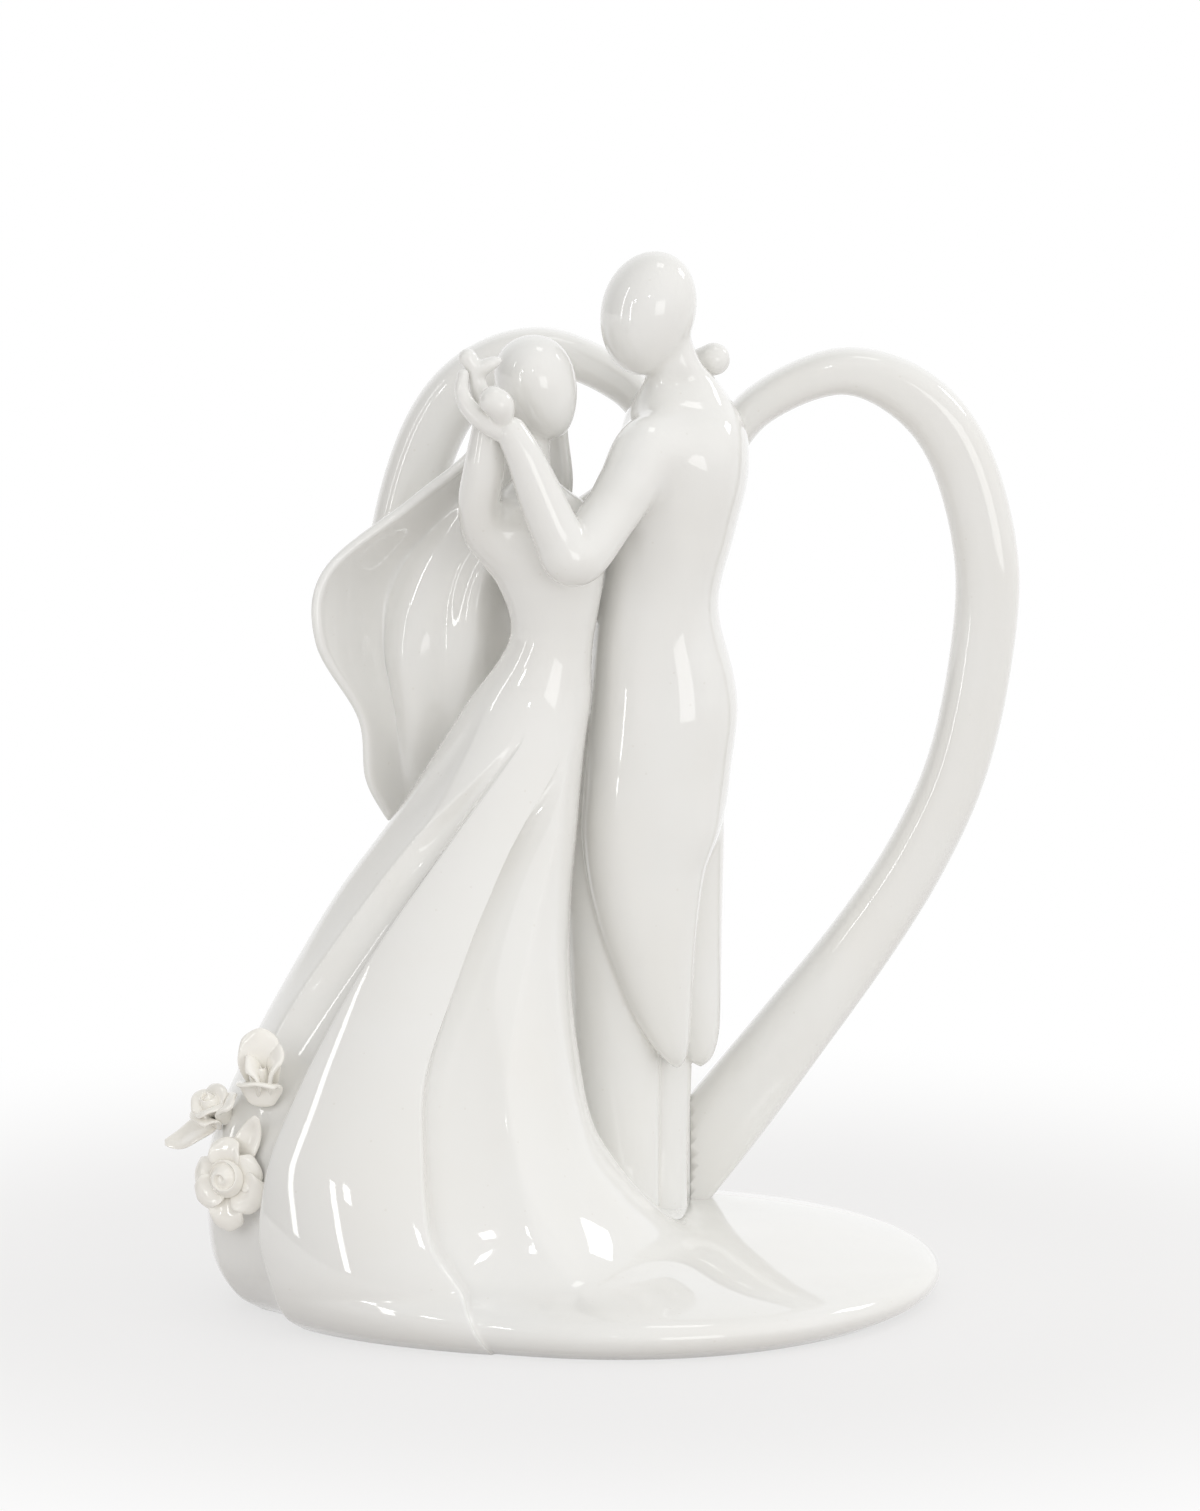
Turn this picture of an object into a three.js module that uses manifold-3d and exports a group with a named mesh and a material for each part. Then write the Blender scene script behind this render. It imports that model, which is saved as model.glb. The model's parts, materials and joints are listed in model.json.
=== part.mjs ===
// Glazed porcelain cake topper: a bride and groom dancing in front of a tall open heart.
// Millimetres, +Z up. The origin is the middle of the foot, on the surface that the piece stands on.
// -Y faces the viewer, the bride is on the -X side and the groom on the +X side.
// Every casting is luted to its neighbour with slip: the lesser one is cut back by the greater one.

import * as THREE from "three";
import { mergeVertices } from "three/addons/utils/BufferGeometryUtils.js";
import Module from "manifold-3d";

const wasm = await Module();
wasm.setup();

// Main sizes. The tables further down are drawn at these sizes and are fitted to them.

const BASE_WIDTH = 143; // left to right of the gown and its train
const BASE_DEPTH = 129; // front to back of the gown and its train
const WAIST_HEIGHT = 122; // top of the gown
const BRIDE_HEIGHT = 188.2;
const GROOM_HEIGHT = 203.4;
const HEART_HEIGHT = 176.8; // top of the band's middle line
const HEART_WIDTH = 117.6; // across the band's middle line at its widest

// Other sizes

const SLIP = 0.3; // thickness of the slip seam between two castings

const WALL = 5; // wall of the hollow gown, measured level
const CAVITY_TOP = 90; // the gown is solid above this height
const FLOOR = 6; // thickness of the gown's floor
const DRAIN_RADIUS = 5; // hole that the slip is poured out of
const DRAIN_AT = [-30, -10]; // middle of the drain hole

const HEART_Y = 38; // middle plane of the heart
const HEART_X = 22; // the heart's own axis
const LEFT_LOBE_LIFT = 4; // the left lobe stands this much taller than the right one
const LEFT_LOBE_WIDTH = 0.965; // and is this much narrower
const LOBE_FOOT = 110; // heights on the heart that the lift grows between
const LOBE_TOP = 170;
const HEART_DEPTH = 12.5; // front to back of the heart's band

const VEIL_THICKNESS = 2.2;
const VEIL_STEPS = [15, 17]; // faces across and along the veil
const COAT_SQUARENESS = 0.78; // 1 is an oval coat, less has flatter sides
const COAT_SIDES = 24; // faces round the coat and round each of its two tails
const CAVITY_SIDES = 32; // faces round the hollow inside the gown
const DRAIN_SIDES = 20; // faces round the drain hole
const BODICE_SIDES = 20;
const HEAD_SIDES = 16;
const LEG_SIDES = 16;
const ARM_SIDES = 12;
const WRIST_SIDES = 10; // faces round the two hands that are half hidden
const HAND_SIDES = 9; // faces round a palm, a thumb and a finger
const BAND_SIDES = 12; // faces round the heart's band
const BAND_STEPS = 3; // faces along the band between two rows of its table
const BAND_ROUNDNESS = 0.75; // 1 is an oval band, less has flatter sides

const ROSE_RADIUS = 7.4; // reach of an outer petal
const PETAL_THICKNESS = 1.1;
const BUD_RADIUS = 2.4;
const BUD_HEIGHT = 5.2;
const BUD_ROOT = 5; // how deep a bud's core is set before the gown cuts it back
const BUD_SIDES = 14; // faces round a bud
const PETAL_STEPS = [5, 4]; // faces across and along an outer petal
const PETAL_OVERLAP = 1.14; // width of a petal as a share of its even part of the circle
const PETAL_LENGTH = 1.2; // length of a petal as a share of the way from bud to rim
const PETAL_RISE = [78, 24]; // slope of the petals in degrees, in a bud and in a flat rose
const LEAF_STEPS = [4, 6]; // faces across and along a leaf
const LEAF_LENGTH = 1.25; // length and half width as shares of the rose's radius
const LEAF_WIDTH = 0.48;
const LEAF_DROP = 1.2; // how far a leaf's root lies under the petals

// Columns: each row is height, left, right, front and back of one oval section.

// The gown is the skirt, which rounds in to the floor at the left, and the train that spreads out of it.

const SKIRT = [
  [0, -63, 20, -50, 30],
  [3, -67.4, 21, -53.6, 31],
  [8, -70.8, 20.6, -56, 31],
  [14, -72.2, 17.6, -55.6, 30],
  [24, -72.4, 9.4, -52, 25.5],
  [35, -71.2, 2.6, -47, 21],
  [49, -65, -0.4, -40, 19],
  [65, -56.2, -2, -32, 17],
  [80, -47, -1.8, -25, 15],
  [95, -35.8, -0.4, -18, 12.5],
  [108, -27.2, 1, -12.6, 10],
  [117, -21.4, 2.2, -9, 8],
  [122, -17.7, 2.3, -8, 7.3],
];

const TRAIN = [
  [0, -50, 66, -62, 60],
  [2, -53, 69.6, -65, 62.5],
  [4.6, -54, 70.6, -66, 63],
  [7, -53, 68, -64.6, 60.4],
  [8.6, -50, 60, -61, 54],
  [9.8, -44, 48, -56, 46],
  [11, -36, 32, -51, 36],
  [12.6, -30, 19, -46, 26],
  [15, -26, 10, -41, 17],
  [19, -22, 2, -34, 8],
  [26, -18, -6, -24, -1],
];
const TRAIN_MIDDLE = [-12, -8]; // the train is measured from here
const TRAIN_FILLET = 18; // how softly the skirt flares into the train
const TRAIN_FADE = [20, 34]; // heights over which the flare ends

const BODICE = [
  [118, -17.2, 2, -7.8, 7.1],
  [124, -16.2, 2.3, -7.6, 7],
  [129, -13.7, 2.7, -7.4, 6.6],
  [134, -13.8, 3.6, -8.2, 6.8],
  [140, -16.2, 4.6, -9.4, 7.4],
  [146, -19.6, 5, -10, 8],
  [151, -20.6, 4, -9.2, 8.2],
  [155, -18.5, 1.5, -7.5, 7.6],
  [158, -15, -2.5, -5.5, 6.4],
  [161, -12.6, -5.2, -4, 4.6],
  [165, -12, -5.8, -3.4, 3.6],
  [172, -12.2, -5.4, -3.4, 3.6],
];

const BRIDE_HEAD = [
  [168.2, -6.2, -4.2, -2.6, -1.2],
  [170, -10.2, -2.2, -6, 2.6],
  [174, -14.2, -0.8, -8.6, 5.2],
  [178, -16.2, -0.6, -9.6, 6.4],
  [182, -16.4, -1.4, -9.6, 6.6],
  [185.5, -14.6, -3.4, -7.8, 5.2],
  [187.6, -11.6, -6.2, -4.6, 2.4],
  [188.2, -9.6, -8.2, -2.2, -0.4],
];

const COAT = [
  [82, 4, 25, 1, 28],
  [88, 1, 27.6, -1.4, 30.2],
  [94, 0.2, 29, -2.2, 31],
  [102, 0, 29.8, -2.2, 31],
  [112, 0.8, 31, -2, 31],
  [120, 1.6, 30.2, -1.6, 30.5],
  [134, 2.8, 27.2, -1.6, 30],
  [148, 4.5, 30.4, -3, 32],
  [158, 6, 32.8, -4.4, 33.5],
  [165, 7.4, 33, -4.2, 33],
  [170, 8.6, 31.8, -1.5, 29.5],
  [174, 10.4, 29.4, 3, 24],
  [178, 12.6, 26.6, 5.6, 18.5],
  [182, 12.9, 23.4, 5.2, 15.5],
  [189, 12.6, 20.8, 5, 14.4],
];

const NEAR_TAIL = [
  [41.6, 18.2, 20.4, 7, 11],
  [44, 16.4, 21, 4.6, 13],
  [48, 13.2, 21.6, 2.6, 14.4],
  [54, 9.6, 22, 1, 15],
  [62, 6.2, 22.4, -0.4, 15.6],
  [72, 3, 23.2, -1.6, 16],
  [82, 1, 24.4, -2.1, 16.5],
  [92, 0.4, 27, -2.1, 18],
];

const FAR_TAIL = [
  [39.6, 23, 25, 18.5, 21.5],
  [42.4, 20.5, 26.4, 16, 24],
  [47, 17, 27.6, 14.4, 27],
  [54, 13.6, 28, 13.6, 28.8],
  [64, 10, 28.1, 13, 30.2],
  [76, 6, 28.4, 12.5, 31],
  [90, 2, 28.6, 12, 31],
];

const GROOM_HEAD = [
  [179.3, 9.4, 12.4, 7.8, 10.2],
  [181, 7, 16.5, 4.6, 13.4],
  [185, 4.8, 20.6, 1.6, 16.4],
  [190, 3.9, 22.4, 0.2, 17.8],
  [195, 4.6, 22.9, 0, 18],
  [199.5, 7, 21.4, 2, 16],
  [202.4, 10, 18.4, 5, 13],
  [203.4, 12.8, 15.4, 7.8, 10.2],
];

const LEFT_LEG = [
  [5, 1.6, 15.8, 5.4, 19],
  [20, 0.4, 15.6, 5, 19],
  [40, -1.4, 15.8, 4.6, 19],
  [60, -2.2, 16, 3.8, 18.6],
  [80, -3, 16, 3.4, 18],
  [96, -2.5, 16, 4, 18],
  [112, -1.5, 16, 5, 18],
];

const RIGHT_LEG = [
  [5, 9, 21.4, 14, 29],
  [20, 8.8, 21.4, 14, 29],
  [40, 8.6, 22.2, 13.6, 29],
  [60, 8, 23, 13, 29],
  [80, 7, 23, 13, 28.6],
  [96, 7, 22, 13, 27],
];

// Limbs: each row is a point on the middle line and the radius there.

const GROOM_LEFT_ARM = [
  [19, 6, 165, 7],
  [13.2, -1.5, 165.8, 6.5],
  [9.4, -5.6, 159.8, 5.9],
  [5.6, -8.8, 154, 5.5],
  [-0.8, -14.8, 146.8, 5.7],
  [-4, -15.8, 150.9, 4.9],
  [-7.2, -16.4, 158.2, 4.4],
  [-10.4, -17, 166.2, 3.6],
  [-12.2, -17.1, 169.6, 3.2],
];
const GROOM_LEFT_PALM = [
  [-12.4, -17.1, 170.2, 2.8],
  [-17.6, -16.4, 173, 2.3],
  [-21, -15.6, 175.6, 1.8],
  [-22.5, -15, 179, 1.4],
  [-22.2, -14.6, 182, 1.1],
];
const GROOM_LEFT_THUMB = [
  [-14.4, -18, 173.6, 1.8],
  [-15.2, -18.8, 176.4, 2.8],
  [-16.4, -18.8, 177.4, 2.8],
];
const GROOM_RIGHT_ARM = [
  [22, 26, 163, 6.4],
  [17, 33, 154, 5.8],
  [6, 32, 143, 5.2],
  [-4, 21, 135, 4.4],
  [-8.4, 13.6, 132.4, 3.6],
];
const GROOM_RIGHT_HAND = [
  [-7.4, 14.4, 132.8, 3],
  [-8.4, 9.8, 131.6, 2.8],
  [-9.4, 7.2, 131.6, 2.1],
];
const BRIDE_RIGHT_ARM = [
  [-12, -1, 147.5, 4.4],
  [-17.6, -5.2, 150.4, 4.6],
  [-19.3, -9, 156.4, 4.1],
  [-18.3, -11.4, 163.4, 4],
  [-17.3, -12.2, 171, 3.4],
  [-17.2, -12.3, 174, 3],
];
const BRIDE_RIGHT_PALM = [
  [-17.2, -12.2, 172, 2.6],
  [-18.8, -12.4, 177.6, 2],
  [-19.8, -12.8, 181, 1.6],
  [-20.3, -13, 183.2, 1.6],
  [-21.4, -13, 185, 1.8],
];
const BRIDE_RIGHT_FINGERS = [
  [-19.6, -12.6, 181.6, 1.2],
  [-18.2, -13.2, 183.2, 1.5],
  [-16.6, -13.4, 184.1, 1.2],
  [-15.4, -13.4, 184.6, 0.6],
];
const BRIDE_LEFT_ARM = [
  [-5, 2, 151, 4.4],
  [0.5, 8.5, 151, 4.3],
  [6.5, 15.5, 154.5, 4.1],
  [10, 20, 159, 3.8],
];
const BRIDE_LEFT_HAND = [
  [14.6, 24.4, 171.4, 3.4],
  [19, 25, 175.6, 3.1],
  [23.4, 21.8, 179.8, 3],
  [26.2, 20, 181.2, 3.2],
];

// Right half of the heart's middle line: across from the axis, height, and width of the band there.

const HEART_HALF = [
  [-6, 146, 7.4],
  [4, 158, 7.6],
  [13.4, 170, 8],
  [29.5, 176.8, 9.2],
  [43.6, 172.2, 11.4],
  [53.4, 160, 12.4],
  [58.8, 139, 12.8],
  [57.6, 118, 12.6],
  [53, 97, 12.4],
  [45, 79, 12.6],
  [34.2, 62, 13.4],
  [19.6, 42.6, 15],
  [6, 25, 16.4],
  [-7, 9, 17],
];

// Veil: rows from the bride's crown to the hem, each from the edge beside her neck round to the free edge.

const VEIL = [
  [
    [-3.6, 5.6, 184], [-5.8, 7, 185.2], [-8, 7.8, 185.9],
    [-10.2, 7.7, 186], [-12.6, 6.4, 185.4], [-15, 3.6, 183],
  ],
  [
    [-2.6, 8.4, 168.6], [-5.4, 11.2, 169.6], [-8.6, 13, 170.4],
    [-12, 13, 170.4], [-15.8, 11.6, 169], [-19.6, 7.4, 166],
  ],
  [
    [-2.2, 9.6, 153.6], [-9, 14.5, 155], [-14, 16.5, 155.6],
    [-19, 16, 156], [-24.5, 15.5, 155.6], [-33, 8.5, 154.6],
  ],
  [
    [-9, 18, 138], [-17, 14.2, 139], [-24, 14.4, 139.6],
    [-30.5, 15, 140], [-37, 18.5, 140.4], [-49.6, 4.5, 141.5],
  ],
  [
    [-12, 19, 124], [-19.4, 14, 125], [-27, 13.4, 125.4],
    [-34.4, 13, 126], [-39.6, 17.4, 126.4], [-51.2, 3, 127.6],
  ],
  [
    [-14.5, 18, 109.4], [-20.6, 14.2, 110], [-27, 13.8, 110],
    [-33, 13.2, 110.4], [-36.8, 15.4, 111], [-43.2, 8, 112],
  ],
  [
    [-18, 17, 101], [-22.4, 15.6, 100.4], [-27.4, 16.8, 99.6],
    [-32, 15.4, 99.4], [-36, 15, 99.4], [-41.9, 10, 99.5],
  ],
  [
    [-20.5, 17, 97], [-24, 16.8, 95.6], [-27.8, 17, 94],
    [-31.4, 16.4, 92.6], [-34.4, 15, 91.6], [-37.7, 11.5, 91],
  ],
];

// Folds of the gown, in order round it: their angle round the section at each of these heights (degrees,
// -90 faces the viewer), how far they stand out (less than 0 is a groove), how wide they are on either side
// of the line, the height where they end and over which they grow, and where they start if not at the hem.

const FOLD_HEIGHTS = [0, 10, 20, 35, 50, 65, 80, 95, 110];
const FOLDS = [
  {
    angles: [-290, -289, -287, -284, -278, -273, -268, -264, -260],
    rise: -3.4,
    reach: [19, 17],
    top: 104,
    fade: 50,
  },
  {
    angles: [-254, -253, -252, -250, -246, -242, -238, -234, -230],
    rise: -4,
    reach: [18, 16],
    top: 108,
    fade: 50,
  },
  {
    angles: [-218, -217, -216, -215, -212, -209, -206, -203, -200],
    rise: -4,
    reach: [19, 14],
    top: 112,
    fade: 50,
  },
  {
    angles: [-178, -176, -174, -170, -163, -156, -151, -148, -139],
    rise: -1.3,
    reach: [17, 19],
    foot: 58,
    top: 119,
    fade: 24,
  },
  {
    angles: [-147, -145, -146, -140, -136, -131, -122.5, -111.5, -88],
    rise: -4.6,
    reach: [19, 8],
    top: 113,
    fade: 36,
  },
  {
    angles: [-79, -81.5, -84.5, -80, -81.5, -76.5, -71, -63, -40],
    rise: -4.4,
    reach: [3, 25],
    top: 107,
    fade: 28,
  },
  {
    angles: [-52, -53, -54.5, -54.5, -57, -60, -56, -47, -38],
    rise: 2.4,
    reach: [9, 24],
    top: 113,
    fade: 26,
  },
];
const FOLD_ROUNDING = 0.02; // how soft the edges of a groove are
const RIDGE_ROUNDING = 1.5; // half width of a ridge's rounded top, in degrees
const FOLD_START = 0.35; // width of a fold where it starts, as a share of its full width
const FOLD_SIDE = 6; // width of a face between two folds, in degrees
const SKIRT_STEP = 8; // the most height between two rings of the gown

// Roses: where each one sits on the gown, the way it faces, its turn about that way, its size,
// how many petals it has, how far they stand open (0 a bud, 1 flat) and the turn of the leaf under it.

const ROSES = [
  {
    name: "rose_upper",
    height: 47,
    angle: -156,
    facing: [-0.3, -0.75, 0.6],
    turn: 100,
    scale: 0.95,
    petals: 3,
    open: 0.3,
    leaf: null,
  },
  {
    name: "rose_left",
    height: 40,
    angle: -172,
    facing: [-0.75, -0.5, 0.45],
    turn: 30,
    scale: 0.9,
    petals: 3,
    open: 0.35,
    leaf: 215,
  },
  {
    name: "rose_lower",
    height: 28,
    angle: -155,
    facing: [-0.5, -0.86, 0.05],
    turn: -20,
    scale: 1.05,
    petals: 5,
    open: 0.85,
    leaf: 30,
  },
];
const ROSE_LIFT = 1.6; // how far a rose's heart stands off the gown

// Materials

const glaze = new THREE.MeshStandardMaterial({ color: 0xf0efeb, roughness: 0.1, metalness: 0 });
const petalGlaze = new THREE.MeshStandardMaterial({ color: 0xf2efe6, roughness: 0.2, metalness: 0 });

// Curves through rows of numbers

function splined(rows, places = rows.map((_, i) => i)) {
  const curve = new THREE.CubicInterpolant(places, rows.flat(), [rows[0]].flat().length);
  return (at) => Array.from(curve.evaluate(at));
}

// The larger of two lengths, with a soft change from one to the other.
function softMax(a, b, reach) {
  const share = THREE.MathUtils.clamp(0.5 + (a - b) / (2 * reach), 0, 1);
  return THREE.MathUtils.lerp(b, a, share) + reach * share * (1 - share);
}

function degreesApart(a, b) {
  return THREE.MathUtils.euclideanModulo(a - b + 180, 360) - 180;
}

// Fitting the tables to the main sizes

const drawnWaist = SKIRT.at(-1)[0];
const drawnCrown = BRIDE_HEAD.at(-1)[0];
const [, drawnLeft, drawnRight, drawnFront, drawnBack] = [0, 1, 2, 3, 4].map((i) => {
  const sides = [...SKIRT, ...TRAIN].map((row) => row[i]);
  return i % 2 ? Math.min(...sides) : Math.max(...sides);
});

// Heights on the bride: the gown up to her waist, and the rest of her above it.
function onBride(z) {
  if (z < drawnWaist) return (z * WAIST_HEIGHT) / drawnWaist;
  return WAIST_HEIGHT + ((z - drawnWaist) * (BRIDE_HEIGHT - WAIST_HEIGHT)) / (drawnCrown - drawnWaist);
}

function onGroom(z) {
  return (z * GROOM_HEIGHT) / GROOM_HEAD.at(-1)[0];
}

function raised(rows, height) {
  return rows.map(([z, ...sides]) => [height(z), ...sides]);
}

const wide = BASE_WIDTH / (drawnRight - drawnLeft);
const deep = BASE_DEPTH / (drawnBack - drawnFront);
function spread([z, left, right, front, back]) {
  return [z, left * wide, right * wide, front * deep, back * deep];
}

// A limb starts at its owner's heights. One that takes hold of the partner ends at the partner's.
function posed(rows, own, partner = own) {
  const last = rows.length - 1;
  return rows.map(([x, y, z, r], i) => [x, y, THREE.MathUtils.lerp(own(z), partner(z), i / last), r]);
}

// Closed surfaces

function surfaceOf(points, triangles) {
  const geometry = new THREE.BufferGeometry();
  geometry.setAttribute("position", new THREE.Float32BufferAttribute(points.flatMap((p) => p.toArray()), 3));
  geometry.setIndex(triangles);
  return geometry;
}

// Rings of equal count, one above the other, joined and closed at both ends.
function loft(rings) {
  const sides = rings[0].length;
  const points = rings.flat();
  const triangles = [];
  for (let r = 0; r + 1 < rings.length; r++) {
    for (let s = 0; s < sides; s++) {
      const a = r * sides + s;
      const b = r * sides + ((s + 1) % sides);
      triangles.push(a, b, b + sides, a, b + sides, a + sides);
    }
  }
  const middle = (ring) => ring.reduce((sum, p) => sum.add(p), new THREE.Vector3()).divideScalar(sides);
  const bottom = points.push(middle(rings[0])) - 1;
  const top = points.push(middle(rings.at(-1))) - 1;
  const last = (rings.length - 1) * sides;
  for (let s = 0; s < sides; s++) {
    const next = (s + 1) % sides;
    triangles.push(bottom, next, s, top, last + s, last + next);
  }
  return surfaceOf(points, triangles);
}

// Oval sections stacked along Z, with an optional outward swell at each angle and height.
// The power squares the oval up: 1 is an ellipse, less than 1 has flatter sides.
function ovalPoint([z, left, right, front, back], angle, swell, power) {
  const part = (value) => Math.sign(value) * Math.abs(value) ** power;
  const turn = THREE.MathUtils.degToRad(angle);
  const across = ((right - left) / 2) * part(Math.cos(turn));
  const arm = new THREE.Vector3(across, ((back - front) / 2) * part(Math.sin(turn)), 0);
  arm.setLength(arm.length() + swell(angle, z));
  return arm.add(new THREE.Vector3((left + right) / 2, (front + back) / 2, z));
}

function column(rows, sides, stepsPerRow, swell = () => 0, power = 1) {
  const section = splined(rows);
  const steps = (rows.length - 1) * stepsPerRow;
  const angles = Array.from({ length: sides }, (_, s) => (360 * s) / sides);
  const ring = (row) => angles.map((angle) => ovalPoint(row, angle, swell, power));
  return loft(Array.from({ length: steps + 1 }, (_, i) => ring(section(i / stepsPerRow))));
}

// A round limb along a smooth middle line, with rounded ends.
function limb(rows, sides = ARM_SIDES, stepsPerRow = 2) {
  const line = new THREE.CatmullRomCurve3(rows.map(([x, y, z]) => new THREE.Vector3(x, y, z)));
  const radius = splined(rows.map((row) => [row[3]]));
  const steps = (rows.length - 1) * stepsPerRow;
  const frames = line.computeFrenetFrames(steps);
  const ringAt = (centre, i, r) =>
    Array.from({ length: sides }, (_, s) => {
      const angle = (2 * Math.PI * s) / sides;
      return centre
        .clone()
        .addScaledVector(frames.normals[i], r * Math.cos(angle))
        .addScaledVector(frames.binormals[i], r * Math.sin(angle));
    });
  const rings = [];
  const endCap = (i, sign) =>
    END_ANGLES.map((angle) => {
      const [r] = radius(i / stepsPerRow);
      const tip = line.getPoint(i / steps).addScaledVector(frames.tangents[i], sign * r * Math.sin(angle));
      return ringAt(tip, i, r * Math.cos(angle));
    });
  rings.push(...endCap(0, -1).reverse());
  for (let i = 0; i <= steps; i++) {
    const [r] = radius(i / stepsPerRow);
    rings.push(ringAt(line.getPoint(i / steps), i, r));
  }
  rings.push(...endCap(steps, 1));
  return loft(rings);
}
const END_ANGLES = [36, 70].map(THREE.MathUtils.degToRad);

// A sheet of even thickness over a surface given by point(across, along), both from 0 to 1.
function sheet(point, acrossSteps, alongSteps, thickness) {
  const nudge = 1e-3;
  const side = (offset) => {
    const points = [];
    for (let j = 0; j <= alongSteps; j++) {
      for (let i = 0; i <= acrossSteps; i++) {
        const u = THREE.MathUtils.clamp(i / acrossSteps, nudge, 1 - nudge);
        const v = THREE.MathUtils.clamp(j / alongSteps, nudge, 1 - nudge);
        const alongU = point(u + nudge, v).sub(point(u - nudge, v));
        const alongV = point(u, v + nudge).sub(point(u, v - nudge));
        points.push(point(u, v).addScaledVector(alongU.cross(alongV).normalize(), offset));
      }
    }
    return points;
  };
  const points = [...side(thickness / 2), ...side(-thickness / 2)];
  const row = acrossSteps + 1;
  const under = row * (alongSteps + 1);
  const triangles = [];
  const quad = (a, b, c, d) => triangles.push(a, b, c, a, c, d);
  for (let j = 0; j < alongSteps; j++) {
    for (let i = 0; i < acrossSteps; i++) {
      const a = j * row + i;
      quad(a, a + 1, a + row + 1, a + row);
      quad(under + a, under + a + row, under + a + row + 1, under + a + 1);
    }
  }
  for (let i = 0; i < acrossSteps; i++) {
    const far = alongSteps * row + i;
    quad(i, under + i, under + i + 1, i + 1);
    quad(far, far + 1, under + far + 1, under + far);
  }
  for (let j = 0; j < alongSteps; j++) {
    const near = j * row;
    const far = near + acrossSteps;
    quad(near, near + row, under + near + row, under + near);
    quad(far, under + far, under + far + row, far + row);
  }
  return surfaceOf(points, triangles);
}

// Cutting and joining

function bare(geometry) {
  const copy = geometry.clone();
  copy.deleteAttribute("normal");
  copy.deleteAttribute("uv");
  return mergeVertices(copy);
}

function solidOf(geometry) {
  const merged = bare(geometry);
  const mesh = new wasm.Mesh({
    numProp: 3,
    vertProperties: merged.attributes.position.array,
    triVerts: new Uint32Array(merged.index.array),
  });
  return new wasm.Manifold(mesh);
}

function geometryOf(solid) {
  const { vertProperties, triVerts } = solid.getMesh();
  const geometry = new THREE.BufferGeometry();
  geometry.setAttribute("position", new THREE.BufferAttribute(vertProperties, 3));
  geometry.setIndex(new THREE.BufferAttribute(triVerts, 1));
  return geometry;
}

// A piece swollen by the slip seam, to cut the neighbour that is luted to it.
function swollen(geometry) {
  const grown = bare(geometry);
  grown.computeVertexNormals();
  const { position, normal } = grown.attributes;
  for (let i = 0; i < position.count; i++) {
    const at = new THREE.Vector3().fromBufferAttribute(position, i);
    at.addScaledVector(new THREE.Vector3().fromBufferAttribute(normal, i), SLIP);
    position.setXYZ(i, ...at);
  }
  return grown;
}

function largest(solid) {
  return solid.decompose().reduce((most, piece) => (piece.volume() > most.volume() ? piece : most));
}

function lutedTo(geometry, ...neighbours) {
  const left = neighbours.reduce((solid, n) => solid.subtract(solidOf(swollen(n))), solidOf(geometry));
  return geometryOf(largest(left));
}

function joined(...geometries) {
  return geometryOf(geometries.map(solidOf).reduce((whole, piece) => whole.add(piece)));
}

function hollowed(geometry, ...tools) {
  return geometryOf(tools.reduce((solid, tool) => solid.subtract(solidOf(tool)), solidOf(geometry)));
}

// Gown

const skirtRows = raised(SKIRT, onBride).map(spread);
const trainRows = raised(TRAIN, onBride).map(spread);
const [skirtAt, trainAt] = [skirtRows, trainRows].map((rows) =>
  splined(rows.map((row) => row.slice(1)), rows.map((row) => row[0])),
);
const foldAngles = FOLDS.map(({ angles }) => splined(angles.map((a) => [a]), FOLD_HEIGHTS));

function drawnHeight(height) {
  return (height * drawnWaist) / WAIST_HEIGHT;
}

function foldShape({ rise, reach }, share) {
  if (rise > 0) return Math.exp(-Math.hypot(share, RIDGE_ROUNDING / reach[0]));
  const inside = 1 - share * share;
  return (inside + Math.sqrt(inside * inside + FOLD_ROUNDING)) / 2;
}

function gownSwell(angle, height) {
  const z = drawnHeight(height);
  return FOLDS.reduce((sum, fold, i) => {
    const { rise, reach, top, fade, foot = -fade } = fold;
    const grown = THREE.MathUtils.smoothstep(Math.min(top - z, z - foot), 0, fade);
    const away = degreesApart(angle, foldAngles[i](z)[0]);
    const width = reach[away < 0 ? 0 : 1] * THREE.MathUtils.lerp(FOLD_START, 1, grown);
    return sum + rise * grown * foldShape(fold, Math.abs(away) / width);
  }, 0);
}

// Moves a point of the skirt out to the train where that reaches further.
function withTrain(point) {
  const [left, right, front, back] = trainAt(point.z);
  const half = new THREE.Vector2(right - left, back - front).divideScalar(2);
  const middle = new THREE.Vector2(TRAIN_MIDDLE[0] * wide, TRAIN_MIDDLE[1] * deep);
  const centre = new THREE.Vector2(left + right, front + back).divideScalar(2);
  const start = middle.clone().sub(centre).divide(half);
  const arm = new THREE.Vector2(point.x, point.y).sub(middle);
  const reach = arm.length();
  const way = arm.clone().divideScalar(reach).divide(half);
  const [a, b, c] = [way.dot(way), way.dot(start), start.dot(start)];
  const edge = (Math.sqrt(Math.max(b * b - a * (c - 1), 0)) - b) / a;
  const flare = 1 - THREE.MathUtils.smoothstep(drawnHeight(point.z), ...TRAIN_FADE);
  arm.setLength(THREE.MathUtils.lerp(reach, softMax(reach, edge, TRAIN_FILLET), flare)).add(middle);
  return new THREE.Vector3(arm.x, arm.y, point.z);
}

function gownPoint(angle, height) {
  return withTrain(ovalPoint([height, ...skirtAt(height)], angle, gownSwell, 1));
}

// Heights of the gown's rings: those of both tables, and more between them where they are far apart.
function ringHeights() {
  const drawn = [...new Set([...skirtRows, ...trainRows].map(([z]) => z))].sort((a, b) => a - b);
  return drawn.flatMap((z, i) => {
    const steps = i ? Math.ceil((z - drawn[i - 1]) / SKIRT_STEP) : 1;
    const below = drawn[i - 1] ?? z;
    return Array.from({ length: steps }, (_, s) => THREE.MathUtils.lerp(below, z, (s + 1) / steps));
  });
}

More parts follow.
